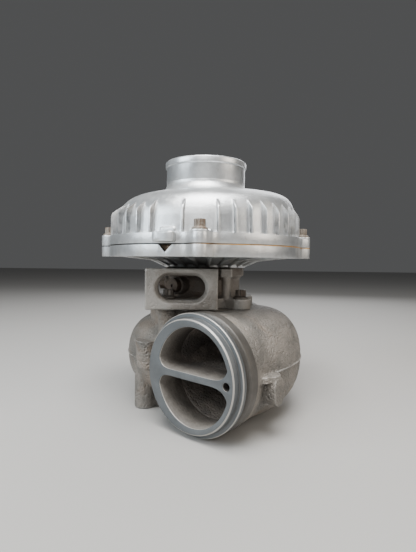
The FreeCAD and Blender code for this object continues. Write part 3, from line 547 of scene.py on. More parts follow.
# ------------------------------------------------------------------ turbine inlet flange
# The mouth of the iron housing, turned on a lathe: spigot, clamp ring, groove and second
# ring, with the two D-shaped gas ports, the web between them and a dowel hole.
MACHINED_DARK, MACHINED_IRON = (0.105, 0.113, 0.119, 1), (0.140, 0.150, 0.157, 1)
EDGE_HIGHLIGHT_IRON, HOLE_SHADE = (0.50, 0.475, 0.44, 1), (0.022, 0.018, 0.016, 1)
GREY_FILM, BROWN_DROPS = (0.13, 0.125, 0.115, 1), (0.10, 0.085, 0.07, 1)
SHOULDER_SHADE, DEEP_SOOT_SHADE = (0.09, 0.085, 0.078, 1), (0.13, 0.108, 0.09, 1)
GROOVE_DARK, GROOVE_LIGHT = (0.085, 0.079, 0.072, 1), (0.135, 0.127, 0.117, 1)
PORT_DARK, PORT_LIGHT = (0.11, 0.098, 0.086, 1), (0.20, 0.185, 0.165, 1)
DOWEL_R, DOWEL_OUT = 3.65, 43.5
PORT_W, PORT_H, PORT_SHIFT, WEB = 42.5, 45.0, 4.0, 6.0
FLANGE_OUTLINE = [(0, -7.0), (50.3, -7.0), (51.75, -5.6), (51.75, -0.5), (52.3, 0.0), (55.7, 0.0),
                  (56.1, 0.5),
                  (56.0, 4.4), (54.6, 5.4), (51.9, 6.2), (51.5, 9.6), (55.0, 10.6), (56.1, 11.4),
                  (56.1, 21.0),
                  (53.2, 22.6), (50.0, 24.0), (0, 24.0)]


def port_outline(side, scale=1.0):
    """D shape of one gas port, flat along the web and open at the dowel side."""
    arc = [math.radians(15.0 + 150.0 * k / 24) for k in range(25)]
    points = [(PORT_SHIFT + PORT_W * math.cos(q), PORT_H * math.sin(q)) for q in arc]
    points += [(x, WEB / 2) for x in (-32.0, -10.0, 13.0, 37.0)]
    return rounded([(x * scale, side * (WEB / 2 + (y - WEB / 2) * scale)) for x, y in points])


def machined_iron():
    """Turned iron with fine tool marks, painted highlights on its corners, sooty ports that darken
    inwards as painted shade, and a dull groove band darkened by painted shade.
    """
    made, tree, out = material("machined_iron")
    turned = placed(tree, TURNED, centre=tuple(INLET), axis=tuple(DUCT), pitch=0.00035)
    skin = placed(tree, SAND_SKIN, grain=620.0, pits=0.4)
    dirt = placed(tree, STAINS, scale=38.0, cover=0.25)
    along, radius = turned["Along"], turned["Radius"]
    tint = mixed(tree, skin["Mottle"], MACHINED_DARK, MACHINED_IRON)
    tint = layered(tree, tint, (dirt["Patch"], 0.25, GREY_FILM),
                   (dirt["Spatter"], 0.2, BROWN_DROPS))
    # Painted shade in the inner corner at the root of the spigot.
    shoulder = both(tree, ramp(tree, along, -0.9 * MM, -0.3 * MM),
                    ramp(tree, radius, 53.0 * MM, 52.4 * MM))
    tint = layered(tree, tint, (shoulder, 0.6, SHOULDER_SHADE))
    # Painted highlights along the outer corner of the clamp ring and the lip of the spigot.
    corner_highlight = both(tree, both(tree, ramp(tree, along, -0.2 * MM, 0.15 * MM),
                             ramp(tree, along, 1.5 * MM, 0.9 * MM)),
                  ramp(tree, radius, 55.2 * MM, 55.6 * MM))
    lip_highlight = both(tree, ramp(tree, along, -6.97 * MM, -6.85 * MM),
               ramp(tree, along, -5.7 * MM, -6.1 * MM))
    tint = mixed(tree, both(tree, maths(tree, "MAXIMUM", corner_highlight, lip_highlight), 0.85), tint, EDGE_HIGHLIGHT_IRON)
    # The groove and the dull cast second ring behind it are painted darker: painted shade.
    shaded_behind = ramp(tree, along, 4.6 * MM, 6.0 * MM)
    tint = mixed(tree, shaded_behind, tint, mixed(tree, skin["Mottle"], GROOVE_DARK, GROOVE_LIGHT))
    cast = both(tree, ramp(tree, along, 20.6 * MM, 21.6 * MM), ramp(tree, radius, 49 * MM, 50 * MM))
    tint = mixed(tree, cast, tint, mixed(tree, skin["Mottle"], IRON_DARK, IRON_LIGHT))
    # The port walls are sooty, and are painted darker deeper in as painted shade.
    wall = both(tree, ramp(tree, radius, 47.6 * MM, 47.2 * MM),
                ramp(tree, along, -6.3 * MM, -5.6 * MM))
    deeper_shade = ramp(tree, along, -6.0 * MM, 26.0 * MM)
    soot_and_shade = mixed(tree, deeper_shade, mixed(tree, skin["Mottle"], PORT_DARK, PORT_LIGHT),
                  mixed(tree, skin["Mottle"], SOOT, DEEP_SOOT_SHADE))
    tint = mixed(tree, wall, tint, soot_and_shade)
    # The dowel hole is painted black inside: painted shade.
    drilled = placed(tree, TURNED, centre=tuple(INLET + OUTWARD * DOWEL_OUT * MM), axis=tuple(DUCT),
                     pitch=0.0004)
    hole = both(tree, ramp(tree, drilled["Radius"], 4.2 * MM, 3.7 * MM),
                ramp(tree, along, -6.9 * MM, -5.8 * MM))
    tint = mixed(tree, hole, tint, HOLE_SHADE)
    raw = maths(tree, "MAXIMUM", wall, cast)
    rough = maths(tree, "ADD", 0.46, both(tree, raw, 0.24))
    rough = maths(tree, "ADD", rough, both(tree, dirt["Patch"], 0.10))
    metal = both(tree, maths(tree, "SUBTRACT", 1.0, raw), 0.55)
    coarse = maths(tree, "ADD", 0.25, both(tree, raw, 3.2))
    height = maths(tree, "ADD", both(tree, turned["Height"], 0.4),
                   both(tree, skin["Height"], coarse))
    surface(tree, out, tint, rough, metal, height, 0.6, 0.0003)
    return made


mouth = lathe("turbine_inlet_flange", FLANGE_OUTLINE, INLET, DUCT, 180)
openings = [prism("port", port_outline(side), port_outline(side, 0.975), INLET, OUTWARD, UP,
                  -12, 30)
            for side in (1, -1)]
openings.append(lathe("dowel", [(0, -12), (DOWEL_R, -12), (DOWEL_R, 30), (0, 30)],
                      INLET + OUTWARD * DOWEL_OUT * MM, DUCT, 40))
crisp(cut_away(mouth, openings), 0.0006)
mouth.data.materials.clear()
mouth.data.materials.append(machined_iron())
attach(mouth, "core")


# ------------------------------------------------------------------ bearing housing
# A smaller iron casting between the two ends, with the window pad, feed plug boss and oil
# drain pad.  Its skin is beige-grey with oil stains, browner towards the shaft, and painted
# dark behind the window pad as painted shade.
OIL_BROWN, WARM_BROWN = (0.085, 0.06, 0.042, 1), (0.15, 0.12, 0.095, 1)
BEIGE_DARK, BEIGE_LIGHT = (0.20, 0.188, 0.172, 1), (0.30, 0.283, 0.26, 1)
CREVICE_SHADE_BROWN, PALE_EDGE = (0.10, 0.075, 0.055, 1), (0.50, 0.48, 0.45, 1)
OILY_WINDOW_SHADE = (0.075, 0.062, 0.052, 1)


def housing_iron():
    made, tree, out = material("housing_iron")
    skin = placed(tree, SAND_SKIN, grain=700.0, pits=0.5)
    edges_and_crevices = placed(tree, EDGE_AND_CREVICE, reach=0.05, breaks=170.0)
    oil = placed(tree, STAINS, scale=34.0, cover=0.5)
    shaft = placed(tree, TURNED, centre=(0.0, 0.0, 0.0), axis=(0.0, 0.0, 1.0), pitch=0.0004)
    tint = mixed(tree, skin["Mottle"], BEIGE_DARK, BEIGE_LIGHT)
    depth = ramp(tree, shaft["Radius"], 58 * MM, 44 * MM)
    tint = mixed(tree, both(tree, oil["Patch"], ramp(tree, depth, 0.0, 1.0, 0.35, 0.85)), tint,
                 OIL_BROWN)
    # The crevice colour is painted shade in the hollows; the pale edge is rubbed iron, partly a
    # painted highlight.
    tint = layered(tree, tint, (depth, 0.45, WARM_BROWN), (edges_and_crevices["Crevice_Shade"], 0.65, CREVICE_SHADE_BROWN),
                   (edges_and_crevices["Edge"], 0.5, PALE_EDGE))
    # Behind the window pad the housing is painted dark brown: painted shade, with oil browning in
    # patches.
    place = add(tree, "ShaderNodeTexCoord").outputs["Object"]
    spot = add(tree, "ShaderNodeSeparateXYZ", {0: place}).outputs
    shaded_behind = both(tree, ramp(tree, spot["Y"], -60.5 * MM, -56.0 * MM),
                  ramp(tree, spot["X"], 12 * MM, 2 * MM))
    tint = mixed(tree, both(tree, shaded_behind, 0.82), tint,
                 mixed(tree, oil["Patch"], OILY_WINDOW_SHADE, OIL_BROWN))
    rough = maths(tree, "SUBTRACT", 0.60, maths(tree, "MULTIPLY", oil["Patch"], 0.2))
    surface(tree, out, tint, rough, 0.35, skin["Height"], 0.8, 0.0007)
    return made


centre_casting = casting("centre_casting", "bearing_housing", 0.85 * MM, 150000, 2, ripple=0.00008)
centre_casting.data.materials.clear()
centre_casting.data.materials.append(housing_iron())
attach(centre_casting, "core")
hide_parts("bearing_housing")


# ------------------------------------------------------------------ compressor backplate
# A turned aluminium disc with radial stiffening ribs underneath, under the same silver
# paint as the cover.  Painted shade darkens the pockets between its ribs and the V notch.
NOTCH_PHI, NOTCH_HALF, NOTCH_DEEP, JOINT_Z = -20.0, 6.6, 7.4, 174.2
SILVER_LIGHT, SILVER_DARK = (0.70, 0.72, 0.735), (0.58, 0.60, 0.615)
DUST, DRIED_OIL = (0.33, 0.29, 0.23, 1), (0.25, 0.19, 0.13, 1)
CREVICE_SHADE_GREY, NOTCH_SHADOW = (0.13, 0.118, 0.10, 1), (0.12, 0.085, 0.06, 1)
RUBBED_HIGHLIGHT_ALUMINIUM = (0.80, 0.81, 0.82, 1)


def spoke_frame(phi):
    """Outward and sideways directions at an angle from the front, in degrees."""
    a = math.radians(phi)
    return Vector((math.sin(a), -math.cos(a), 0)), Vector((math.cos(a), math.sin(a), 0))


def silver_paint(name, grain, bump, dirt_cover, tone, notch=False):
    """Aluminium casting under silver paint, darkened in the hollows as painted shade and rubbed
    bright on the edges, partly as a painted highlight.
    """
    made, tree, out = material(name)
    skin = placed(tree, SAND_SKIN, grain=grain, pits=0.25)
    edges_and_crevices = placed(tree, EDGE_AND_CREVICE, reach=0.06, breaks=120.0)
    dirt = placed(tree, STAINS, scale=24.0, cover=dirt_cover)
    light = tuple(c * tone for c in SILVER_LIGHT) + (1,)
    shade = tuple(c * tone for c in SILVER_DARK) + (1,)
    tint = mixed(tree, skin["Mottle"], shade, light)
    # The crevice colour is painted shade in the hollows; the bright edge colour is rubbed paint,
    # partly a painted highlight.
    tint = layered(tree, tint, (dirt["Patch"], 0.35, DUST), (dirt["Spatter"], 0.18, DRIED_OIL),
                   (edges_and_crevices["Crevice_Shade"], 0.8, CREVICE_SHADE_GREY), (edges_and_crevices["Edge"], 0.5, RUBBED_HIGHLIGHT_ALUMINIUM))
    # The V notch under the front boss is painted dark brown: painted shadow of the boss.
    if notch:
        spoke, across = spoke_frame(NOTCH_PHI)
        place = add(tree, "ShaderNodeTexCoord").outputs["Object"]
        out_far = add(tree, "ShaderNodeVectorMath", {0: place, 1: tuple(spoke)},
                      operation="DOT_PRODUCT").outputs["Value"]
        aside = maths(tree, "ABSOLUTE", add(tree, "ShaderNodeVectorMath",
                                            {0: place, 1: tuple(across)},
                                            operation="DOT_PRODUCT").outputs["Value"])
        inside = both(tree, ramp(tree, out_far, 106.5 * MM, 105.6 * MM),
                      ramp(tree, out_far, 98 * MM, 100 * MM))
        inside = both(tree, inside, ramp(tree, aside, 7.5 * MM, 6.8 * MM))
        tint = mixed(tree, inside, tint, NOTCH_SHADOW)
    rough = maths(tree, "ADD", 0.30, maths(tree, "MULTIPLY", skin["Mottle"], 0.08))
    rough = maths(tree, "ADD", rough, maths(tree, "MULTIPLY", dirt["Patch"], 0.14))
    surface(tree, out, tint, rough, 0.8, skin["Height"], 0.5, bump)
    return made


def radial_prism(name, outline, phi, inner, outer):
    """A prism along a spoke between two radii; the outline is (sideways, height) in mm."""
    spoke, across = spoke_frame(phi)
    return prism(name, outline, outline, Vector(), across, UP, -outer, -inner)


RIM_R, EAR_R, EAR_PCD, EAR_PHI, EAR_HOLE = 107.0, 9.0, 111.0, -2.5, 4.8
EAR_ARC, EAR_SIDE, EAR_TAPER, EAR_BLEND = 4.64, 150.27, 1.2727, (-1.4, -0.7, 0.0, 0.7, 1.4)
RIM_INNER, RIM_ROOM, PLATE_LOW = 98.0, 126.0, 163.0


def rim_radius(phi):
    """How far out the flange edge is at an angle: round, with four tapered screw ears."""
    off = abs((phi - EAR_PHI + 45.0) % 90.0 - 45.0)
    a = math.radians(off)
    if off < EAR_ARC:
        return EAR_PCD * math.cos(a) + math.sqrt(EAR_R ** 2 - (EAR_PCD * math.sin(a)) ** 2)
    return max(RIM_R, EAR_SIDE / (math.sin(a) + EAR_TAPER * math.cos(a)))


def ring_sector(name, start, end, steps, inner, outer, low, high):
    """Part of a ring of square section; inner and outer are radii as functions of the angle."""
    closed = end - start >= 360
    shape = bmesh.new()
    rows = []
    for k in range(steps if closed else steps + 1):
        phi = start + (end - start) * k / steps
        spoke, _ = spoke_frame(phi)
        rows.append([shape.verts.new((spoke * r + UP * z) * MM) for r, z in (
            (inner(phi), low), (outer(phi), low), (outer(phi), high), (inner(phi), high))])
    banded(shape, rows + (rows[:1] if closed else []))
    if not closed:
        shape.faces.new(rows[0][::-1])
        shape.faces.new(rows[-1])
    bmesh.ops.recalc_face_normals(shape, faces=shape.faces)
    return built(name, shape)


def flange_edge(name, low, high, cutters=()):
    """The rim of a flange with its ears filleted in and drilled for the screws."""
    edge = ring_sector(name, 0, 360, 480, lambda phi: RIM_INNER,
                       lambda phi: sum(rim_radius(phi + d) for d in EAR_BLEND) / len(EAR_BLEND),
                       low, high)
    holes = [lathe("hole", [(0, low - 2), (EAR_HOLE, low - 2), (EAR_HOLE, high + 4), (0, high + 4)],
                   spoke_frame(EAR_PHI + 90 * k)[0] * EAR_PCD * MM, UP, 32) for k in range(4)]
    return crisp(cut_away(edge, holes + list(cutters)), 0.0005)


notch = radial_prism("notch", [(-NOTCH_HALF, JOINT_Z + 2), (NOTCH_HALF, JOINT_Z + 2),
                               (NOTCH_HALF, JOINT_Z - 0.3),
                               (0, JOINT_Z - NOTCH_DEEP), (-NOTCH_HALF, JOINT_Z - 0.3)],
                     NOTCH_PHI, 101.5, 112)
plate_rim = flange_edge("backplate_rim", PLATE_LOW, JOINT_Z - 0.2, [notch])
rim_room = ring_sector("rim_room", 0, 360, 120, lambda phi: RIM_INNER + 0.4, lambda phi: RIM_ROOM,
                       PLATE_LOW - 1, JOINT_Z + 1)
backplate = casting("backplate_disc", "backplate", 0.8 * MM, 170000, 1, [rim_room], 0.00004)
plate_paint = silver_paint("backplate_paint", 1000.0, 0.00022, 0.42, 0.86, notch=True)
for piece in (backplate, plate_rim):
    piece.data.materials.clear()
    piece.data.materials.append(plate_paint)
    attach(piece, "core")
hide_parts("backplate")


# ------------------------------------------------------------------ compressor cover
# A sand-cast aluminium volute under silver paint, ribbed round its foot.  The inlet snout
# and the discharge mouth are turned, so they are separate crisp rings here.
SNOUT_BASE, MOUTH_BASE = 245.0, 86.0
DISCHARGE, DISCHARGE_AXIS = Vector((75.0, 0.0, 210.0)) * MM, Vector((0, 1, 0))
TUBE_FROM, TUBE_TO, RIB_ROOM, VOLUTE_START = 80, 172, 2.4, 15.0
SNOUT_OUTLINE = [(38.85, SNOUT_BASE), (44.45, SNOUT_BASE), (44.45, 262.0), (45.75, 262.9),
                 (45.75, 268.2),
                 (44.65, 269.2), (43.4, 269.2), (40.6, 264.0)]
MOUTH_OUTLINE = [(26.8, MOUTH_BASE), (30.55, MOUTH_BASE), (30.55, 105.4), (31.75, 106.2),
                 (31.75, 111.2),
                 (31.0, 112.0), (27.6, 112.0), (27.25, 108.0)]
COVER_LOW, FLANGE_TOP, EAR_TOP = 175.2, 185.0, 187.0
RIB_STEP, FIRST_RIB, BOSS_RIB = 9.0, -2.5, 38
RIBS = [FIRST_RIB + RIB_STEP * k for k in range(40) if k % 10 and k != BOSS_RIB]
DOME_LOW = [(82.0, 226.0), (90.0, 220.5), (96.5, 212.0), (100.2, 202.0), (101.5, 185.2)]
DOME_HIGH = [(84.0, 234.0), (94.0, 228.5), (99.5, 218.0), (101.3, 204.0), (101.5, 185.2)]


def dome_weight(theta):
    """0 where the dome is low, 1 where the volute is largest ahead of the discharge."""
    growing = 360.0 - VOLUTE_START
    u = (theta - VOLUTE_START) % 360.0 / growing
    return u ** 5 if u <= 1.0 else 1.0 - (u - 1.0) / (VOLUTE_START / growing)


def rib_space():
    """The room of the ribs outside the dome, clear of the discharge tube."""
    shape = bmesh.new()
    for phi in RIBS:
        if TUBE_FROM < phi < TUBE_TO:
            continue
        w = dome_weight(phi - 90.0)
        outline = [(a[0] + (b[0] - a[0]) * w + 0.5, a[1] + (b[1] - a[1]) * w + 0.3)
                   for a, b in zip(DOME_LOW, DOME_HIGH)]
        outline += [(108.0, 185.2), (108.0, 238.0), (outline[0][0], 238.0)]
        spoke, across = spoke_frame(phi)
        near, far = [[shape.verts.new((spoke * r + UP * z + across * side) * MM)
                      for r, z in outline]
                     for side in (-RIB_ROOM, RIB_ROOM)]
        shape.faces.new(near)
        shape.faces.new(far[::-1])
        banded(shape, [near, far])
    bmesh.ops.recalc_face_normals(shape, faces=shape.faces)
    return built("rib_space", shape)


def ear_blocks(name, outline, low, high):
    """The same upright block at each of the four ears; the outline is (sideways, outward)."""
    blocks = []
    for k in range(4):
        spoke, across = spoke_frame(EAR_PHI + 90 * k)
        blocks.append(prism(name, outline, outline, Vector(), across, spoke, low, high))
    return joined(name, blocks)


snout_space = lathe("snout_space", [(0, SNOUT_BASE + 1), (50, SNOUT_BASE + 1), (50, 275), (0, 275)],
                    Vector(), UP, 96)
boss_space = radial_prism("boss_space", [(-9, 185.1), (9, 185.1), (9, 193), (-9, 193)], NOTCH_PHI,
                          102.2, 118)
mouth_space = lathe("mouth_space", [(0, MOUTH_BASE + 1), (36, MOUTH_BASE + 1), (36, 120), (0, 120)],
                    DISCHARGE, DISCHARGE_AXIS, 96)
EAR_PAD = [(-8.7, 100), (8.7, 100), (8.7, EAR_PCD)]
EAR_PAD += [(8.7 * math.cos(math.radians(q)),
             EAR_PCD + 8.7 * math.sin(math.radians(q))) for q in range(10, 171, 10)]
EAR_PAD += [(-8.7, EAR_PCD)]
ear_room = ear_blocks("ear_room", [(-12, 102.3), (12, 102.3), (12, 124), (-12, 124)],
                      FLANGE_TOP - 0.2, FLANGE_TOP + 4)
rim_room = ring_sector("rim_room", 160, 475, 120, lambda phi: 102.0, lambda phi: RIM_ROOM,
                       COVER_LOW - 1, FLANGE_TOP + 0.1)
cover = casting("compressor_volute", "compressor_cover", 0.9 * MM, 190000, 2,
                [snout_space, mouth_space, boss_space, rib_space(), rim_room, ear_room], 0.00008)
cover_rim = flange_edge("cover_rim", COVER_LOW, FLANGE_TOP)
snout = crisp(lathe("compressor_inlet_snout", SNOUT_OUTLINE, Vector(), UP, 180), 0.0003)
outlet = crisp(lathe("compressor_outlet_mouth", MOUTH_OUTLINE, DISCHARGE, DISCHARGE_AXIS, 160),
               0.0003)
cover_paint = silver_paint("cover_paint", 950.0, 0.0003, 0.30, 1.0)
turned_paint = silver_paint("turned_paint", 1100.0, 0.00010, 0.22, 1.0)
ear_pads = crisp(ear_blocks("cover_ear_pads", EAR_PAD, FLANGE_TOP - 0.3, EAR_TOP), 0.0005)
for piece, paint in ((cover, cover_paint), (cover_rim, cover_paint), (ear_pads, cover_paint),
                     (snout, turned_paint), (outlet, turned_paint)):
    piece.data.materials.clear()
    piece.data.materials.append(paint)
    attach(piece, "core")
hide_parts("compressor_cover")


# ------------------------------------------------------------------ cover ribs
# Thin upright ribs cast round the foot of the cover, with moulding draft.  They stand on
# the flange, lean into the dome, and miss the four screw lugs and the front boss.
RIB_ROOT, RIB_EDGE = 2.9, 1.9


def rib(shape, phi):
    w = dome_weight(phi - 90.0)
    top_r, top_z = 88.0 + 7.0 * w, 220.3 + 5.5 * w
    outline = [(97.0, 184.3), (106.1, 184.3), (105.75, 206.3), (104.3, 209.6), (top_r, top_z),
               (84.0, 206.0)]
    spoke, across = spoke_frame(phi)
    sides = []
    for sign in (-1, 1):
        side = []
        for r, z in outline:
            half = 0.5 * (RIB_ROOT + (RIB_EDGE - RIB_ROOT) * min(1.0, max(0.0, (r - 98.0) / 8.0)))
            side.append(shape.verts.new((spoke * r + UP * z + across * sign * half) * MM))
        sides.append(side)
    shape.faces.new(sides[0])
    shape.faces.new(sides[1][::-1])
    banded(shape, sides)


fins = bmesh.new()
for phi in RIBS:
    rib(fins, phi)
bmesh.ops.recalc_face_normals(fins, faces=fins.faces)
ribs = crisp(built("cover_ribs", fins), 0.0004, 25.0)
# A darker, dustier copy of the cover paint for the rib sides: painted shade.
side_shade_paint = silver_paint("side_shade_paint", 950.0, 0.0003, 0.55, 0.40)


def shaded_sides(piece):
    """Darker, dustier paint on the faces that look along the rim, as painted shade; bright paint on
    the others.
    """
    piece.data.materials.clear()
    piece.data.materials.append(cover_paint)
    piece.data.materials.append(side_shade_paint)
    for face in piece.data.polygons:
        out = Vector((face.center.x, face.center.y, 0.0)).normalized()
        if abs(face.normal.dot(out)) < 0.5 and face.normal.z < 0.5:
            face.material_index = 1


shaded_sides(ribs)
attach(ribs, "core")


# ------------------------------------------------------------------ front boss
# A cushion-shaped pad cast on the edge of the cover flange, hollowed a little in the middle,
# over the V notch that the backplate is lined up by.
BOSS_OUTLINE = [(-11.2, 177.2), (-9.2, 175.9), (9.2, 175.9), (11.2, 177.2), (11.0, 184.6),
                (8.6, 186.2), (3.4, 185.3),
                (-3.4, 185.3), (-8.6, 186.2), (-11.0, 184.6)]
BOSS_HALF, DIMPLE_DEEP, DIMPLE_R = 11.0, 0.5, 3.0
BOSS_RIM = [(-2.2, 1.0), (-0.7, 0.95), (0.0, 0.82), (0.1, 0.4)]


def cushion(name, outline, phi, inner, outer, bulge):
    """A pad standing out from a round flange, its face crowned and its rim rounded over."""
    spoke, across = spoke_frame(phi)
    shape = bmesh.new()
    middle = Vector((sum(p[0] for p in outline), sum(p[1] for p in outline))) / len(outline)
    rows = []
    for reach, scale in [(inner, 1.0)] + [(outer + step, size) for step, size in BOSS_RIM]:
        row = []
        for x, z in rounded(outline, 2):
            u, v = middle.x + (x - middle.x) * scale, middle.y + (z - middle.y) * scale
            crown = -bulge * (u / BOSS_HALF) ** 2 - DIMPLE_DEEP * math.exp(-(u / DIMPLE_R) ** 2)
            out = reach + (crown if reach > inner else 0.0)
            row.append(shape.verts.new((spoke * out + across * u + UP * v) * MM))
        rows.append(row)
    for a, b in zip(rows, rows[1:]):
        for j in range(len(a)):
            k = (j + 1) % len(a)
            shape.faces.new((a[j], a[k], b[k], b[j]))
    shape.faces.new(rows[0][::-1])
    shape.faces.new(rows[-1])
    bmesh.ops.recalc_face_normals(shape, faces=shape.faces)
    made = built(name, shape)
    made.data.shade_smooth()
    made.data.set_sharp_from_angle(angle=math.radians(40))
    return made


front_boss = cushion("cover_front_boss", BOSS_OUTLINE, NOTCH_PHI, 103.0, 114.8, 1.8)
# Its sides take the darker paint too: painted shade.
shaded_sides(front_boss)
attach(front_boss, "core")


# ------------------------------------------------------------------ sealing and joint line
# Gasket and sealing compound squeezed out between the backplate and the cover: fresh amber
# on one side, painted near-black on the other as painted shadow in the joint gap.
FRESH_AMBER, AMBER_SHADE = (0.75, 0.40, 0.09, 1), (0.50, 0.25, 0.06, 1)
GAP_SHADOW = (0.035, 0.030, 0.026, 1)


def sealing_compound():
    made, tree, out = material("sealing_compound")
    drift = placed(tree, STAINS, scale=26.0, cover=0.75)
    place = add(tree, "ShaderNodeTexCoord").outputs["Object"]
    across = add(tree, "ShaderNodeSeparateXYZ", {0: place}).outputs["X"]
    fresh = both(tree, ramp(tree, across, -0.02, 0.03),
                 ramp(tree, drift["Patch"], 0.05, 0.5, 0.45, 1.0))
    amber = mixed(tree, drift["Spatter"], FRESH_AMBER, AMBER_SHADE)
    # Left of the middle the compound is painted near-black: painted shadow in the joint gap.
    tint = mixed(tree, fresh, GAP_SHADOW, amber)
    surface(tree, out, tint, 0.42, 0.0, drift["Spatter"], 0.4, 0.0002)
    return made


def finish_nodes(finish, *nodes):
    """Gives frame solids whose shape is right their own finish."""
    for node in nodes:
        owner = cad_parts[node]
        for slot in owner.material_slots:
            slot.link = "OBJECT"
            slot.material = finish
        if not owner.material_slots:
            owner.data.materials.append(finish)


finish_nodes(sealing_compound(), "cover_gasket")


# ------------------------------------------------------------------ screws
# Forged twelve-point flange screws, rolled threads, black oxide long gone: rusty on the
# cover, dark and oily where they clamp the bearing housing to its two neighbours.
DRY_SCREW, DRY_SCREW_SHADE = (0.30, 0.27, 0.235), (0.15, 0.12, 0.095)
OILY_SCREW, OILY_SCREW_SHADE = (0.13, 0.12, 0.11), (0.07, 0.06, 0.052)
OILY_STAIN, RUST = (0.06, 0.045, 0.035, 1), (0.16, 0.10, 0.062, 1)


def small_part(name, colour, shade, rough, metal, grain=1400.0, bump=0.00012, stain=RUST, cover=0.2,
               turned=0.3):
    """Finish of a small part: metal or rubber with its own drift, stains, wear and tool marks,
    painted shade in its hollows and edges rubbed bright, partly as a painted highlight.
    """
    made, tree, out = material(name)
    skin = placed(tree, SAND_SKIN, grain=grain, pits=0.3)
    edges_and_crevices = placed(tree, EDGE_AND_CREVICE, reach=0.08, breaks=400.0)
    patch = placed(tree, STAINS, scale=90.0, cover=cover)
    marks = placed(tree, TURNED, centre=(0.0, 0.0, 0.0), axis=(0.0, 0.0, 1.0), pitch=0.0003)
    tint = mixed(tree, skin["Mottle"], shade + (1,), colour + (1,))
    tint = mixed(tree, patch["Patch"], tint, stain)
    # Hollows are darkened as painted shade; edges are brightened, rubbed and partly a painted
    # highlight.
    tint = mixed(tree, both(tree, edges_and_crevices["Crevice_Shade"], 0.6), tint, tuple(c * 0.4 for c in shade) + (1,))
    tint = mixed(tree, both(tree, edges_and_crevices["Edge"], 0.5), tint,
                 tuple(min(1.0, c * 1.5) for c in colour) + (1,))
    roughness = maths(tree, "ADD", rough, both(tree, patch["Patch"], 0.18))
    height = maths(tree, "ADD", both(tree, skin["Height"], 1.0 - turned),
                   both(tree, marks["Height"], turned))
    surface(tree, out, tint, roughness, metal, height, 0.5, bump)
    return made


finish_nodes(small_part("rusted_screws", DRY_SCREW, DRY_SCREW_SHADE, 0.46, 0.6, cover=0.35),
             "cover_bolts")
finish_nodes(small_part("housing_screws", OILY_SCREW, OILY_SCREW_SHADE, 0.42, 0.6, stain=OILY_STAIN,
                        cover=0.4),
             "turbine_flange_bolts", "backplate_bolts")


# ------------------------------------------------------------------ oil plugs
# Turned steel plugs screwed into the feed port, seen through the window, and into the side
# port behind the pad.  Years of hot oil have turned them brown.
PLUG, PLUG_SHADE = (0.075, 0.056, 0.043), (0.04, 0.03, 0.023)
finish_nodes(small_part("oiled_plugs", PLUG, PLUG_SHADE, 0.34, 0.5, stain=OILY_STAIN, cover=0.4),
             "oil_feed_plug", "side_plug")


# ------------------------------------------------------------------ compressor wheel
# Cast aluminium wheel with seven full and seven splitter blades, its back and bore turned
# and its rim trimmed for balance.
WHEEL, WHEEL_SHADE, WHEEL_STAIN = (0.72, 0.72, 0.71), (0.60, 0.60, 0.59), (0.4, 0.38, 0.34, 1)
finish_nodes(small_part("wheel_aluminium", WHEEL, WHEEL_SHADE, 0.27, 1.0, bump=0.00006,
                        stain=WHEEL_STAIN,
                        cover=0.0, turned=0.8), "compressor_wheel")


# ------------------------------------------------------------------ turbine wheel
# Investment-cast nickel alloy with twelve blades, friction welded to the shaft and
# darkened by the exhaust.
HOT_ALLOY, HOT_ALLOY_SHADE = (0.27, 0.24, 0.215), (0.16, 0.14, 0.125)
finish_nodes(small_part("wheel_nickel", HOT_ALLOY, HOT_ALLOY_SHADE, 0.5, 0.7, bump=0.0002,
                        stain=SOOT, cover=0.5, turned=0.1), "turbine_wheel")


# ------------------------------------------------------------------ shaft and thrust parts
# Hardened steel ground all over: the stepped shaft, the thrust collar and oil slinger
# clamped on its stub, the locknut over them, and the two dowel pins of the thrust bearing.
STEEL, STEEL_SHADE = (0.62, 0.61, 0.59), (0.50, 0.49, 0.48)
finish_nodes(small_part("ground_steel", STEEL, STEEL_SHADE, 0.22, 1.0, bump=0.00005, cover=0.05,
                        turned=0.9),
             "rotor_shaft", "thrust_collar", "oil_slinger", "wheel_locknut", "thrust_bearing_pins")


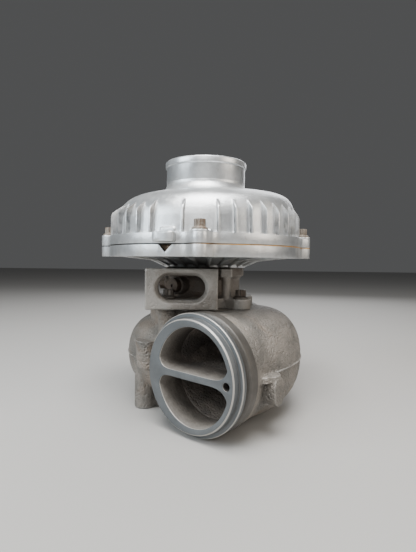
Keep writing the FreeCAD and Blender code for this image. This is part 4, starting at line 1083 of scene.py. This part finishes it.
# ------------------------------------------------------------------ seal rings and clips
# Cast-iron piston rings that seal the shaft at both ends, and spring-steel clips that hold
# the bearings and the seal plate.
RING, RING_SHADE = (0.36, 0.36, 0.355), (0.24, 0.24, 0.235)
finish_nodes(small_part("ring_steel", RING, RING_SHADE, 0.34, 0.95, cover=0.1, turned=0.6),
             "turbine_seal_ring", "compressor_seal_ring", "bearing_retaining_rings",
             "seal_plate_snap_ring")


# ------------------------------------------------------------------ heat shield
# A cup pressed from stainless sheet, trapped between the turbine housing and the bearing
# housing, straw and brown from the heat.
SHIELD, SHIELD_SHADE = (0.34, 0.29, 0.24), (0.21, 0.17, 0.145)
finish_nodes(small_part("shield_steel", SHIELD, SHIELD_SHADE, 0.42, 0.85, stain=SOOT, cover=0.4,
                        turned=0.7),
             "heat_shield")


# ------------------------------------------------------------------ bearings
# Leaded bronze turned and drilled: two bushes that float on oil round the shaft, and the
# thrust bearing with its six oil grooves, which is pinned to the housing.
BRONZE, BRONZE_SHADE = (0.60, 0.40, 0.19), (0.46, 0.29, 0.13)
finish_nodes(small_part("bearing_bronze", BRONZE, BRONZE_SHADE, 0.3, 1.0, bump=0.00006,
                        stain=OIL_BROWN, cover=0.15,
                        turned=0.85), "journal_bearing_turbine", "journal_bearing_compressor",
                        "thrust_bearing")


# ------------------------------------------------------------------ seal plate
# A turned aluminium insert that closes the oil side of the backplate round the slinger,
# held in its bore by a clip and sealed by a rubber ring in its edge.
PLATE, PLATE_SHADE = (0.55, 0.56, 0.56), (0.42, 0.43, 0.43)
finish_nodes(small_part("seal_plate_metal", PLATE, PLATE_SHADE, 0.34, 0.9, stain=OIL_BROWN,
                        cover=0.2, turned=0.8),
             "seal_plate")


# ------------------------------------------------------------------ rubber rings
# Moulded black O-rings.  One sits in the groove of the seal plate, the other in that of
# the bearing housing, and both are squeezed when the parts go together.
RUBBER, RUBBER_SHADE, BLOOM = (0.025, 0.025, 0.026), (0.014, 0.014, 0.015), (0.03, 0.03, 0.03, 1)
finish_nodes(small_part("seal_rubber", RUBBER, RUBBER_SHADE, 0.55, 0.0, stain=BLOOM, cover=0.2,
                        turned=0.2),
             "seal_plate_o_ring", "bearing_housing_o_ring")


# ------------------------------------------------------------------ last update
# The view layer is brought up to date once more.
bpy.context.view_layer.update()
